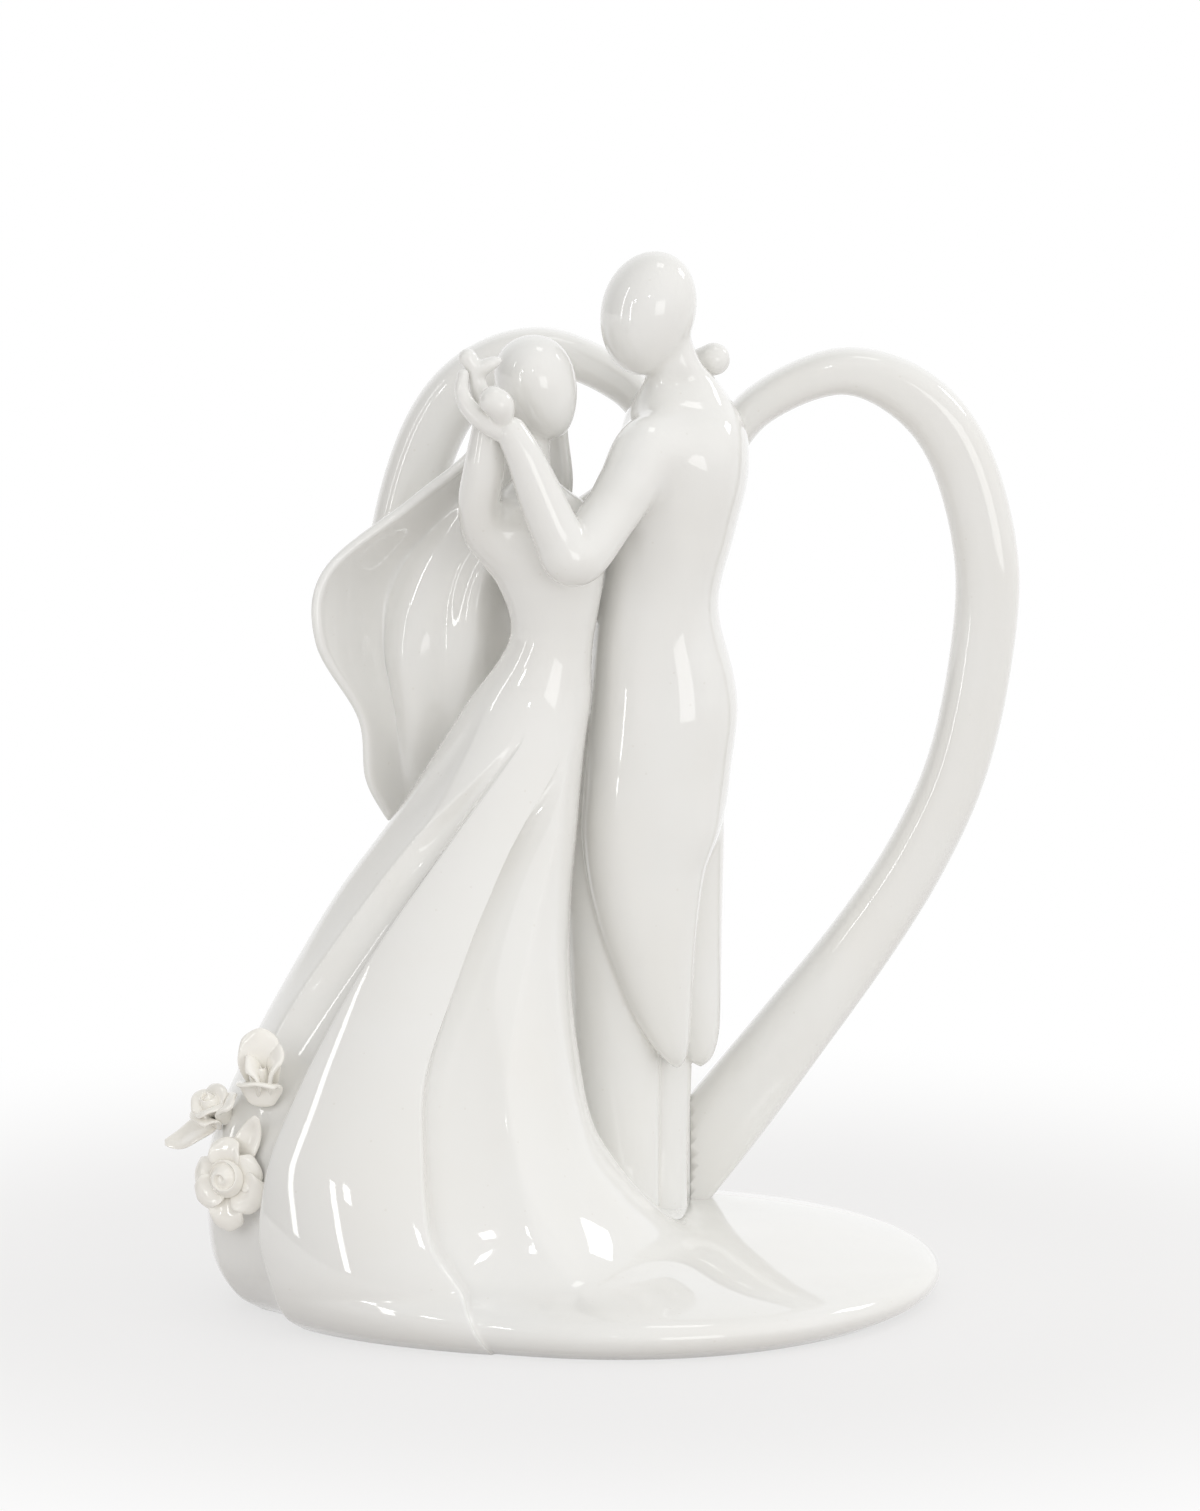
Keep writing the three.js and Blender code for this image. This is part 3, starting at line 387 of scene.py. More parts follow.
ROSES = [
    {
        "name": "rose_upper",
        "place": (43.5, -149),
        "facing": (-0.1, -0.42, 0.9),
        "petals_replaced": 3,
        "petals": [
            (92, 8, 2.05, 1.4, 1.6, 0),
            (30, 12, 1.7, 1.35, 1.7, 0),
            (178, 2, 1.35, 1.15, 1.0, 0.4),
            (266, 8, 1.15, 1.5, 2.0, -1.6),
        ],
        "leaves": [],
        "hearts": [(150, 90, 0.6, 0.6, 0, 3.8)],
    },
    {
        "name": "rose_left",
        "place": (38.4, -163),
        "facing": (-0.4, -0.5, 0.77),
        "petals_replaced": 3,
        "petals": [
            (190, 10, 1.05, 1.1, 1.4, -1),
            (300, 14, 1.0, 1.1, 1.4, -1),
            (70, 10, 1.1, 1.1, 1.4, -1),
            (5, 26, 1.3, 0.9, 2.2, -1.6),
            (240, 20, 0.9, 1.2, 1.8, -2),
        ],
        "leaves": [(215, 92, 1.45, 1.6, 1.2, -2)],
        "hearts": [(60, 90, 0.66, 0.66, 0, 3.2)],
    },
    {
        "name": "rose_lower",
        "place": (28, -155),
        "facing": (-0.4, -0.9, 0.12),
        "petals_replaced": 5,
        "petals": [
            (94, 62, 1.05, 1.1, 1.8, 0),
            (176, 68, 0.95, 1.25, 1.6, -0.4),
            (218, 64, 1.0, 1.1, 1.6, 0),
            (274, 72, 1.4, 1.2, 1.6, -0.6),
            (332, 66, 1.15, 1.35, 1.8, -0.2),
            (20, 62, 0.95, 1.2, 1.6, -0.4),
        ],
        "leaves": [(66, 80, 1.6, 1.25, 1.4, -0.8)],
        "hearts": [(30, 90, 1.04, 1.04, 0, 2.2)],
    },
]
PART_VALUES = ("turn", "lean", "size", "wide", "root", "lift")
ROSE_LIFT = 1.6
ROSE_UNDERSIDE = ((0.3, 0.9), (0.75, 0.6), (0.97, 0.15))

# Glaze: shares of the tint that are left where it pools and where shade is painted into its hollows, colour
# of the specks, and sizes of its patterns.

POOL_AND_SHADE_SHARES = (0.95, 0.925, 0.88)
SPECK_TINT = (0.62, 0.55, 0.45, 1)
CLOUD_SCALE = 38
SPECK_SCALE = 240
ROUGHNESS_SCALE = 160
SWELL_SCALE = 55

# Stage, in metres. A lamp is its place, its size and its share of the lamp power.

LAMPS = {
    "left": ((-0.95, -0.42, 0.45), (0.06, 0.8), 0.9),
    "overhead": ((0.25, 0.0, 1.2), (0.25, 0.25), 0.4),
    "right": ((0.85, 0.4, 0.75), (0.25, 0.25), 1),
    "window": ((-0.6, -0.86, 0.52), (0.06, 0.09), 0.22),
    "slit": ((-0.6, -0.66, 0.24), (0.04, 0.4), 0.45),
    "right front": ((0.55, -1.15, 0.2), (0.5, 0.5), 1.5),
    "front": ((-0.06, -1.25, 0.72), (0.05, 0.07), 0.15),
}
LAMP_TARGET = (0, 0, 0.1)
WORLD_LIGHT_WAY = (0.75, -0.65, 0.05)
WORLD_LEVELS = (0.14, 1.2)
WORLD_BACK = (0.2, 0.7)
FLOOR_REACH = 12
FLOOR_FADE = (0.1, 0.26)
FLOOR_PALENESS = 0.68

# Camera: the photograph's height and the focal length in its pixels, and the place and tilt that fit it.

PHOTO_HEIGHT = 1511
PHOTO_FOCUS = 7800
SENSOR = 36
CAMERA_PLACE = (0.00394, -1.5, 0.3463)
CAMERA_TILT = 80.891


class TopperSettings(bpy.types.PropertyGroup):
    """Sizes and colours that a user of the topper may want to change."""

    gown_cells: bpy.props.IntProperty(
        name="Gown Cells", description="Faces round the gown", default=480, min=64, max=500)
    figure_cell: bpy.props.FloatProperty(
        name="Figure Cell", description="Length of a face on the groom", default=0.00062, unit="LENGTH")
    hand_cell: bpy.props.FloatProperty(
        name="Fine Cell", description="Length of a face on the bride and on the hands",
        default=0.00038, unit="LENGTH")
    veil_thickness: bpy.props.FloatProperty(
        name="Veil Thickness", description="Thickness of the veil", default=0.0022, unit="LENGTH")
    heart_depth: bpy.props.FloatProperty(
        name="Heart Depth", description="Front to back of the heart's band", default=0.0125, unit="LENGTH")
    petal_thickness: bpy.props.FloatProperty(
        name="Petal Thickness", description="Thickness of a rose petal", default=0.0009, unit="LENGTH")
    rose_reach: bpy.props.FloatProperty(
        name="Rose Reach", description="Length of a petal of size 1", default=0.0062, unit="LENGTH")
    rose_heart_radius: bpy.props.FloatProperty(
        name="Rose Heart Radius", description="Radius of the rolled-up middle of a rose",
        default=0.0036, unit="LENGTH")
    glaze_color: bpy.props.FloatVectorProperty(
        name="Glaze Color", description="Colour of the glazed porcelain", subtype="COLOR", size=3,
        default=(0.88, 0.875, 0.85))
    # The petal tint is lighter than the glaze: painted light on the roses.
    petal_color: bpy.props.FloatVectorProperty(
        name="Petal Color", description="Colour of the rose petals", subtype="COLOR", size=3,
        default=(0.96, 0.935, 0.875))
    glaze_roughness: bpy.props.FloatProperty(
        name="Glaze Roughness", description="Roughness under the clear coat", default=0.045, subtype="FACTOR")
    floor_color: bpy.props.FloatVectorProperty(
        name="Floor Color", description="Colour of the floor", subtype="COLOR", size=3,
        default=(0.62, 0.595, 0.58))
    lamp_power: bpy.props.FloatProperty(
        name="Lamp Power", description="Power that the lamps' shares refer to", default=0.8, subtype="POWER")


# Curves through rows of numbers

def smooth_rows(rows, per_span=12):
    """More rows, on a smooth curve through the given ones."""
    rows = np.asarray(rows, float)
    ends = (2 * rows[:1] - rows[1:2], 2 * rows[-1:] - rows[-2:-1])
    padded = np.concatenate([ends[0], rows, ends[1]])
    t = np.linspace(0, 1, per_span, endpoint=False).reshape(-1, *[1] * (rows.ndim - 1))
    spans = []
    for a, b, c, d in zip(padded, padded[1:], padded[2:], padded[3:]):
        bow = (2 * a - 5 * b + 4 * c - d) * t**2 + (3 * b - a - 3 * c + d) * t**3
        spans.append(b + 0.5 * ((c - a) * t + bow))
    return np.concatenate([*spans, rows[-1:]])


def rows_at(rows, places):
    """Rows between the given ones, at places from 0 (first row) to 1 (last row)."""
    dense = smooth_rows(rows, per_span=24)
    at = np.clip(places, 0, 1) * (len(dense) - 1)
    low = np.minimum(at.astype(int), len(dense) - 2)
    share = (at - low).reshape(-1, *[1] * (dense.ndim - 1))
    return dense[low] * (1 - share) + dense[low + 1] * share


def smooth_step(x, low, high):
    t = np.clip((x - low) / (high - low), 0, 1)
    return t * t * (3 - 2 * t)


def eased(count):
    """Places from 0 to 1 that crowd together at both ends."""
    return 0.5 - 0.5 * np.cos(np.linspace(0, math.pi, count))


# Closed surfaces

def closed_loft(rings):
    """Vertices and faces of rings one above the other, closed at both ends."""
    count, sides = rings.shape[:2]
    points = np.concatenate([rings.reshape(-1, 3), rings[:1].mean(1), rings[-1:].mean(1)])
    this = np.arange(sides)
    after = (this + 1) % sides
    faces = []
    for r in range(count - 1):
        low, high = r * sides, (r + 1) * sides
        faces += np.stack([low + this, low + after, high + after, high + this], 1).tolist()
    bottom, top, last = count * sides, count * sides + 1, (count - 1) * sides
    faces += [(bottom, b, a) for a, b in zip(this, after)]
    faces += [(top, last + a, last + b) for a, b in zip(this, after)]
    return points, faces


def edge_distance(middle, axis):
    """How far each point of a grid lies from the nearer end of its grid line along the axis."""
    steps = np.linalg.norm(np.diff(middle, axis=axis), axis=-1)
    start = np.concatenate([np.zeros_like(np.take(steps, [0], axis)), np.cumsum(steps, axis)], axis)
    length = np.take(start, [-1], axis)
    return np.minimum(start, length - start)


def thick_sheet(middle, thickness, rim):
    """Vertices and faces of a sheet round a grid of points, with rounded edges."""
    rows, columns = middle.shape[:2]
    normal = np.cross(np.gradient(middle, axis=1), np.gradient(middle, axis=0))
    normal /= np.maximum(np.linalg.norm(normal, axis=-1, keepdims=True), 1e-9)
    half = np.full((rows, columns), thickness / 2)
    for axis in (0, 1):
        near = np.minimum(edge_distance(middle, axis) / rim, 1)
        half *= np.sqrt(1 - (1 - near) ** 2)
    offset = normal * half[..., None]
    points = np.concatenate([(middle + offset).reshape(-1, 3), (middle - offset).reshape(-1, 3)])
    front = np.arange(rows * columns).reshape(rows, columns)
    back = front + rows * columns
    back[[0, -1], :] = front[[0, -1], :]
    back[:, [0, -1]] = front[:, [0, -1]]

    def quads(index):
        return np.stack([index[:-1, :-1], index[:-1, 1:], index[1:, 1:], index[1:, :-1]], -1).reshape(-1, 4)

    faces = np.concatenate([quads(front), quads(back)[:, ::-1]])
    used, renumbered = np.unique(faces, return_inverse=True)
    return points[used], renumbered.reshape(-1, 4).tolist()


def linked_object(name, data):
    item = bpy.data.objects.new(name, data)
    bpy.context.scene.collection.objects.link(item)
    return item


def smooth_mesh(name, points, faces, material):
    mesh = bpy.data.meshes.new(name)
    mesh.from_pydata(points, [], faces)
    mesh.materials.append(material)
    mesh.shade_smooth()
    return mesh


def piece_of(name, points, faces, material):
    """An object from points in millimetres."""
    return linked_object(name, smooth_mesh(name, (np.asarray(points) * MM).tolist(), faces, material))


def hand_over(piece, slot, *nodes):
    """Puts a finished piece in the place of its solids."""
    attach(piece, "root")
    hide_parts(*nodes)


# Distance fields of the figures: less than 0 inside, in millimetres

def blend(a, b, reach):
    """The nearer of two distances, with a soft fillet where they meet."""
    h = np.clip(0.5 + 0.5 * (b - a) / reach, 0, 1)
    return b + (a - b) * h - reach * h * (1 - h)


def sides_at(table, heights):
    """Left, right, front and back of a column at these heights."""
    return [np.interp(heights, table[:, 0], table[:, i]) for i in range(1, 5)]


def column_field(points, rows, power=1.0, cap=0.6, foot=0):
    """Distance to a column through the rows, from the height of its foot up."""
    table = smooth_rows(rows)
    table = table[table[:, 0] >= foot]
    x, y, z = points.T
    left, right, front, back = sides_at(table, z)
    x = x - (left + right) / 2
    y = y - (front + back) / 2
    across = np.abs(x / ((right - left) / 2)) ** (2 / power)
    deep = np.abs(y / ((back - front) / 2)) ** (2 / power)
    share = np.maximum((across + deep) ** (power / 2), 1e-6)
    reach = np.hypot(x, y)
    side = reach - reach / share
    end = np.maximum(z - table[-1, 0], table[0, 0] - z)
    return -blend(-side, -end, cap)


def egg_field(points, middle, radii, taper, lean, bend):
    q = points - np.asarray(middle)
    q[:, 0] -= lean * q[:, 2] + bend * q[:, 2] ** 2
    high = q[:, 2] / radii[2]
    limit = 1.2
    wide = 1 + taper * np.clip(high, -limit, limit)
    share = np.sqrt((q[:, 0] / (radii[0] * wide)) ** 2 + (q[:, 1] / (radii[1] * wide)) ** 2 + high**2)
    reach = np.linalg.norm(q, axis=1)
    return reach - reach / np.maximum(share, 1e-6)


def limb_field(points, rows, far=8.0):
    """Distance to a round limb. It is only worked out near the limb, and is the given value elsewhere."""
    line = smooth_rows(rows, per_span=10)
    low = (line[:, :3] - line[:, 3:]).min(0) - far
    high = (line[:, :3] + line[:, 3:]).max(0) + far
    near = ((points > low) & (points < high)).all(1)
    q = points[near]
    best = np.full(len(q), far)
    for a, b in zip(line, line[1:]):
        along = b[:3] - a[:3]
        t = np.clip((q - a[:3]) @ along / (along @ along), 0, 1)
        gap = np.linalg.norm(q - a[:3] - t[:, None] * along, axis=1)
        best = np.minimum(best, gap - (a[3] + (b[3] - a[3]) * t))
    out = np.full(len(points), far)
    out[near] = best
    return out


def sampled(field, low, counts, cell, stride=3, margin=3):
    """Values of a field on a grid. Far from the surface they are taken over from a coarser grid."""
    coarse_counts = -(-counts // stride)
    places = np.stack(np.indices(coarse_counts), -1).reshape(-1, 3)
    values = field(low + places * (stride * cell)).reshape(coarse_counts)
    for axis, count in enumerate(counts):
        values = np.take(values.repeat(stride, axis), np.arange(count), axis)
    near = np.abs(values) < margin * stride * cell
    values[near] = field(low + np.argwhere(near) * cell)
    return values


def surface_net(field, low, high, cell):
    """Vertices and quads of the surface where a field is 0."""
    low = np.asarray(low, float)
    counts = np.ceil((np.asarray(high) - low) / cell).astype(int) + 1
    inside = sampled(field, low, counts, cell) < 0
    corners = np.zeros(counts - 1, int)
    for i, j, k in np.ndindex(2, 2, 2):
        corners += inside[i:counts[0] - 1 + i, j:counts[1] - 1 + j, k:counts[2] - 1 + k]
    active = (corners > 0) & (corners < 8)
    index = np.full(active.shape, -1)
    index[active] = np.arange(active.sum())
    points = low + (np.argwhere(active) + 0.5) * cell
    quads = []
    for axis in range(3):
        order = (axis, (axis + 1) % 3, (axis + 2) % 3)
        sign = inside.transpose(order)[:, 1:-1, 1:-1]
        cells = index.transpose(order)
        around = [cells[:, :-1, :-1], cells[:, 1:, :-1], cells[:, 1:, 1:], cells[:, :-1, 1:]]
        around = np.stack(around, -1)
        quads.append(around[sign[:-1] & ~sign[1:]])
        quads.append(around[~sign[:-1] & sign[1:]][:, ::-1])
    return points, np.concatenate(quads)


def settled(points, field, most, rounds):
    """Points moved on to the surface of the field."""
    nudge = 0.01
    least_slope = 0.05
    for _ in range(rounds):
        value = field(points)
        slope = np.stack([field(points + nudge * e) - value for e in np.eye(3)], 1) / nudge
        steep = np.maximum(np.linalg.norm(slope, axis=1), least_slope)
        step = np.clip(value / steep, -most, most)
        points = points - (step / steep)[:, None] * slope
    return points


def relaxed(points, quads):
    """Points moved to the middle of the faces round them, which evens the faces out."""
    total = np.zeros_like(points)
    count = np.zeros(len(points))
    middle = points[quads].mean(1)
    for corner in quads.T:
        np.add.at(total, corner, middle)
        np.add.at(count, corner, 1)
    return total / count[:, None]


def field_piece(name, field, box, cell, material, evenings=3):
    points, quads = surface_net(field, *box, cell)
    for _ in range(evenings):
        points = settled(relaxed(points, quads), field, cell, 1)
    points = settled(points, field, cell, 2)
    return piece_of(name, points, quads.tolist(), material)


# Materials

def feed(tree, node, inputs):
    """Sets inputs of a node, each to a value or to another node's output socket."""
    for key, value in dict(inputs).items():
        if isinstance(value, bpy.types.NodeSocket):
            tree.links.new(value, node.inputs[key])
        else:
            node.inputs[key].default_value = value


def add_node(tree, kind, inputs=(), **settings):
    """Adds a node and gives its output sockets."""
    node = tree.nodes.new(kind)
    for key, value in settings.items():
        setattr(node, key, value)
    feed(tree, node, inputs)
    return node.outputs


def math_node(tree, operation, *values, **settings):
    return add_node(tree, "ShaderNodeMath", enumerate(values), operation=operation, **settings)[0]


def map_range(tree, value, given=(0, 1), wanted=(0, 1), **settings):
    """A value taken from one range over into another."""
    inputs = {"Value": value}
    inputs["From Min"], inputs["From Max"] = given
    inputs["To Min"], inputs["To Max"] = wanted
    return add_node(tree, "ShaderNodeMapRange", inputs, **settings)["Result"]


def noise(tree, coords, scale, detail):
    inputs = {"Vector": coords, "Scale": scale, "Detail": detail}
    return add_node(tree, "ShaderNodeTexNoise", inputs)["Fac"]


def color_mix(tree, factor, first, second, blend_type="MIX"):
    """A mix of two colours. The colour sockets of a Mix node are its inputs 6 and 7 and its output 2."""
    inputs = {"Factor": factor, 6: first, 7: second}
    return add_node(tree, "ShaderNodeMix", inputs, data_type="RGBA", blend_type=blend_type)[2]


def glaze_tone(tree, given, coords):
    """Colour of the glaze: it drifts softly, deepens in hollows with pooled glaze and painted shade, and has
    a few faint specks.
    """
    bend = add_node(tree, "ShaderNodeNewGeometry")["Pointiness"]
    # Darker where the surface is hollow: partly pooled glaze, partly painted shade.
    hollow = map_range(tree, bend, (0.5, 0.42), (0, 0.55))
    drift = map_range(tree, noise(tree, coords, CLOUD_SCALE, 3), (0.35, 0.75), (0, 0.3))
    pool_and_shade = math_node(tree, "ADD", hollow, drift, use_clamp=True)
    tone = color_mix(tree, pool_and_shade, given["Tint"], given["Pool And Shade Tint"])
    specks = add_node(tree, "ShaderNodeTexVoronoi", {"Vector": coords, "Scale": SPECK_SCALE, "Randomness": 1})
    speck = map_range(tree, specks["Distance"], (0.045, 0.07), (0.12, 0))
    return color_mix(tree, speck, tone, SPECK_TINT, "MULTIPLY")


def glaze_group():
    """Shader group for hand-dipped glaze: soft changes of tone, pooling and painted shade in hollows, and a
    faint waviness.
    """
    name = "HandDippedGlaze"
    if name in bpy.data.node_groups:
        return bpy.data.node_groups[name]
    tree = bpy.data.node_groups.new(name, "ShaderNodeTree")
    sockets = {
        "INPUT": {"Tint": "Color", "Pool And Shade Tint": "Color", "Roughness": "Float"},
        "OUTPUT": {"Color": "Color", "Roughness": "Float", "Height": "Float"},
    }
    for way, kinds in sockets.items():
        for label, kind in kinds.items():
            tree.interface.new_socket(label, in_out=way, socket_type="NodeSocket" + kind)
    given = add_node(tree, "NodeGroupInput")
    coords = add_node(tree, "ShaderNodeTexCoord")["Object"]
    rough = math_node(tree, "MULTIPLY", noise(tree, coords, ROUGHNESS_SCALE, 2), given["Roughness"])
    add_node(tree, "NodeGroupOutput", {
        "Color": glaze_tone(tree, given, coords),
        "Roughness": math_node(tree, "MULTIPLY", rough, 2),
        "Height": noise(tree, coords, SWELL_SCALE, 1),
    })
    return tree


def new_material(name):
    """A new material, its node tree and its shader node."""
    material = bpy.data.materials.new(name)
    material.use_nodes = True
    return material, material.node_tree, material.node_tree.nodes["Principled BSDF"]


def glazed(name, tint, roughness, coat):
    """Porcelain under a clear glaze, made once for each name."""
    if name in bpy.data.materials:
        return bpy.data.materials[name]
    material, tree, shader = new_material(name)
    # The tint for pooled glaze and for the shade painted into hollows.
    pool_and_shade = [c * f for c, f in zip(tint, POOL_AND_SHADE_SHARES)]
    values = {"Tint": (*tint, 1), "Pool And Shade Tint": (*pool_and_shade, 1), "Roughness": roughness}
    dip = add_node(tree, "ShaderNodeGroup", values, node_tree=glaze_group())
    wave = add_node(tree, "ShaderNodeBump", {"Height": dip["Height"], "Strength": 0.08, "Distance": 0.0006})
    feed(tree, shader, {
        "Base Color": dip["Color"],
        "Roughness": dip["Roughness"],
        "Normal": wave["Normal"],
        "Coat Normal": wave["Normal"],
        "Coat Weight": coat,
        "Coat Roughness": 0.02,
        "IOR": 1.5,
    })
    return material


def glaze(settings):
    return glazed("glazed_porcelain", settings.glaze_color, settings.glaze_roughness, coat=0.8)


# The petals get a lighter tint than the rest of the porcelain, which paints light on the roses.
def petal_glaze(settings):
    return glazed("glazed_petals", settings.petal_color, settings.glaze_roughness, coat=0.9)


# Gown

def oval_points(rows, angles, swell):
    """Points round each section, pushed out by a swell for each row and angle. Angles are in degrees."""
    turn = np.radians(angles)
    across = (rows[:, 2] - rows[:, 1])[:, None] / 2 * np.cos(turn)
    deep = (rows[:, 4] - rows[:, 3])[:, None] / 2 * np.sin(turn)
    stretch = 1 + swell / np.hypot(across, deep)
    x = (rows[:, 1] + rows[:, 2])[:, None] / 2 + across * stretch
    y = (rows[:, 3] + rows[:, 4])[:, None] / 2 + deep * stretch
    return np.stack([x, y, np.broadcast_to(rows[:, :1], x.shape)], -1)


def fold_lines(heights):
    """Angle of each fold at each height."""
    lines = []
    for fold in FOLDS:
        path = smooth_rows(np.stack([FOLD_HEIGHTS, fold["angles"]], 1))
        lines.append(np.interp(heights, path[:, 0], path[:, 1]))
    return np.stack(lines, 1)


def gown_swell(heights, angles):
    """How far the folds push the gown out at each height and angle (one row of angles for each height)."""
    total = np.zeros(angles.shape)
    for fold, line in zip(FOLDS, fold_lines(heights).T):
        room = np.minimum(fold["top"] - heights, heights - fold.get("foot", -fold["fade"]))
        grown = smooth_step(room, 0, fold["fade"])[:, None]
        away = (angles - line[:, None] + 180) % 360 - 180
        share = np.abs(away) / (np.where(away < 0, *fold["reach"]) * (FOLD_START + (1 - FOLD_START) * grown))
        if fold["rise"] < 0:
            left = 1 - share**2
            shape = (left + np.sqrt(left**2 + FOLD_ROUNDING)) / 2
        else:
            shape = np.exp(-np.sqrt(share**2 + (RIDGE_ROUNDING / fold["reach"][0]) ** 2))
        total += fold["rise"] * grown * shape
    return total


def along_folds(heights, angles):
    """Angles for each height, bent so that the same angle stays beside the same fold all the way up."""
    drawn = fold_lines(np.array([FOLD_DRAWN_AT]))[0]
    drawn = np.concatenate([drawn - 360, drawn, drawn + 360])
    bent = []
    for lines in fold_lines(heights):
        bent.append(np.interp(angles, drawn, np.concatenate([lines - 360, lines, lines + 360])))
    return np.stack(bent)


def with_train(points):
    """Points of the skirt, moved out to the train where that reaches further."""
    table = smooth_rows(TRAIN)
    height = points[..., 2]
    left, right, front, back = sides_at(table, height)
    half = np.stack([right - left, back - front], -1) / 2
    start = (np.array(TRAIN_MIDDLE) - np.stack([left + right, front + back], -1) / 2) / half
    arm = points[..., :2] - TRAIN_MIDDLE
    reach = np.linalg.norm(arm, axis=-1)
    way = arm / reach[..., None] / half
    a, b, c = ((u * v).sum(-1) for u, v in ((way, way), (way, start), (start, start)))
    edge = (np.sqrt(np.maximum(b * b - a * (c - 1), 0)) - b) / a
    fade = 1 - smooth_step(height, *TRAIN_FADE)
    longer = reach - (reach + blend(-reach, -edge, TRAIN_FILLET)) * fade
    moved = TRAIN_MIDDLE + arm * (longer / reach)[..., None]
    return np.concatenate([moved, points[..., 2:]], -1)


def gown_points(rows, angles):
    return with_train(oval_points(rows, angles, gown_swell(rows[:, 0], angles)))


def gown_rings(sides):
    rows = smooth_rows(BRIDE_COLUMN, per_span=14)
    rows = rows[rows[:, 0] < GOWN_TOP]
    tuck = WAIST_TUCK * smooth_step(rows[:, 0], *GOWN_TUCK)
    rows[:, [1, 3]] += tuck[:, None]
    rows[:, [2, 4]] -= tuck[:, None]
    even = np.linspace(-180, 180, sides, endpoint=False)
    crowded = even - GOWN_CROWDING * np.degrees(np.sin(np.radians(even - GOWN_FRONT)))
    rings = gown_points(rows, along_folds(rows[:, 0], crowded))
    middle = rings[:1].mean(1, keepdims=True)
    foot = [middle + (rings[:1] - middle) * share for share in FOOT_SHARES]
    return np.concatenate([*foot, rings])


class TOPPER_OT_gown(bpy.types.Operator):
    """Builds the gown with its folds and its train"""

    bl_idname = "topper.gown"
    bl_label = "Gown"

    def execute(self, context):
        settings = context.scene.topper
        points, faces = closed_loft(gown_rings(settings.gown_cells))
        piece = piece_of("gown_dressed", points, faces, glaze(settings))
        hand_over(piece, "glaze", "gown")
        return {"FINISHED"}


# Bride and groom

def with_limbs(body, points, limbs):
    for rows, fillet in limbs:
        body = blend(body, limb_field(points, rows), fillet)
    return body


def bride_field(points):
    body = column_field(points, BRIDE_COLUMN, foot=BODICE_FOOT)
    tuck = WAIST_TUCK * smooth_step(points[:, 2], *BODICE_TUCK)
    body = blend(body + tuck, egg_field(points, **BRIDE_HEAD), BRIDE_NECK_FILLET)
    body = with_limbs(body, points, BRIDE_LIMBS)
    palm = limb_field(points, BRIDE_RIGHT_PALM)
    hand = blend(palm, limb_field(points, BRIDE_RIGHT_FINGERS), HAND_FILLET)
    return blend(body, hand, HAND_FILLET)


def groom_field(points):
    body = column_field(points, COAT, COAT_SQUARENESS)
    near, far = (column_field(points, rows, COAT_SQUARENESS, TAIL_CAP) for rows in (NEAR_TAIL, FAR_TAIL))
    body = blend(body, blend(near, far, TAIL_CREASE), TAIL_FILLET)
    left, right = (column_field(points, rows) for rows in (LEFT_LEG, RIGHT_LEG))
    body = blend(body, blend(left, right, LEG_CREASE), LEG_FILLET)
    body = blend(body, egg_field(points, **GROOM_HEAD), GROOM_NECK_FILLET)
    return with_limbs(body, points, GROOM_LIMBS)


def groom_hand_field(points):
    palm = limb_field(points, GROOM_LEFT_PALM)
    return blend(palm, limb_field(points, GROOM_LEFT_THUMB), THUMB_FILLET)


class TOPPER_OT_bride(bpy.types.Operator):
    """Builds the bride above the gown: bodice, head, arms and hands"""

    bl_idname = "topper.bride"
    bl_label = "Bride"

    def execute(self, context):
        settings = context.scene.topper
        cell = settings.hand_cell / MM
        piece = field_piece("bride_dressed", bride_field, BRIDE_BOX, cell, glaze(settings))
        hand_over(piece, "glaze", "bride_bodice", "bride_head", "bride_right_arm", "bride_right_hand",
                  "bride_left_arm", "bride_left_hand")
        return {"FINISHED"}


class TOPPER_OT_groom(bpy.types.Operator):
    """Builds the groom: tailcoat, trousers, head and arms, and the raised hand"""

    bl_idname = "topper.groom"
    bl_label = "Groom"

    def execute(self, context):
        settings = context.scene.topper
        cell = settings.figure_cell / MM
        body = field_piece("groom_dressed", groom_field, GROOM_BOX, cell, glaze(settings))
        hand_over(body, "glaze", "groom_coat", "groom_head", "groom_left_arm", "groom_right_arm",
                  "groom_right_hand", "groom_left_leg", "groom_right_leg")
        cell = settings.hand_cell / MM
        hand = field_piece("groom_hand_dressed", groom_hand_field, GROOM_HAND_BOX, cell, glaze(settings))
        hand_over(hand, "glaze", "groom_left_hand")
        return {"FINISHED"}


# Veil

def veil_middle():
    across = eased(90)
    along = eased(130)
    rows = rows_at(VEIL, along)
    return np.stack([rows_at(row, across) for row in rows])


class TOPPER_OT_veil(bpy.types.Operator):
    """Builds the veil, a thin flared sheet with rounded edges"""

    bl_idname = "topper.veil"
    bl_label = "Veil"

    def execute(self, context):
        settings = context.scene.topper
        thickness = settings.veil_thickness / MM
        points, faces = thick_sheet(veil_middle(), thickness, thickness * VEIL_RIM)
        piece = piece_of("veil_dressed", points, faces, glaze(settings))
        hand_over(piece, "glaze", "veil")
        return {"FINISHED"}


# Geometry Nodes

def node_tree(name, inputs):
    """An empty Geometry Nodes tree with named inputs, given as label, socket type and default."""
    tree = bpy.data.node_groups.new(name, "GeometryNodeTree")
    tree.interface.new_socket("Geometry", in_out="INPUT", socket_type="NodeSocketGeometry")
    for label, kind, default in inputs:
        socket = tree.interface.new_socket(label, in_out="INPUT", socket_type=kind)
        if default is not None:
            socket.default_value = default
    tree.interface.new_socket("Geometry", in_out="OUTPUT", socket_type="NodeSocketGeometry")
    return tree


def stored_value(tree, name):
    """A named value that the points carry."""
    return add_node(tree, "GeometryNodeInputNamedAttribute", {"Name": name}, data_type="FLOAT")["Attribute"]


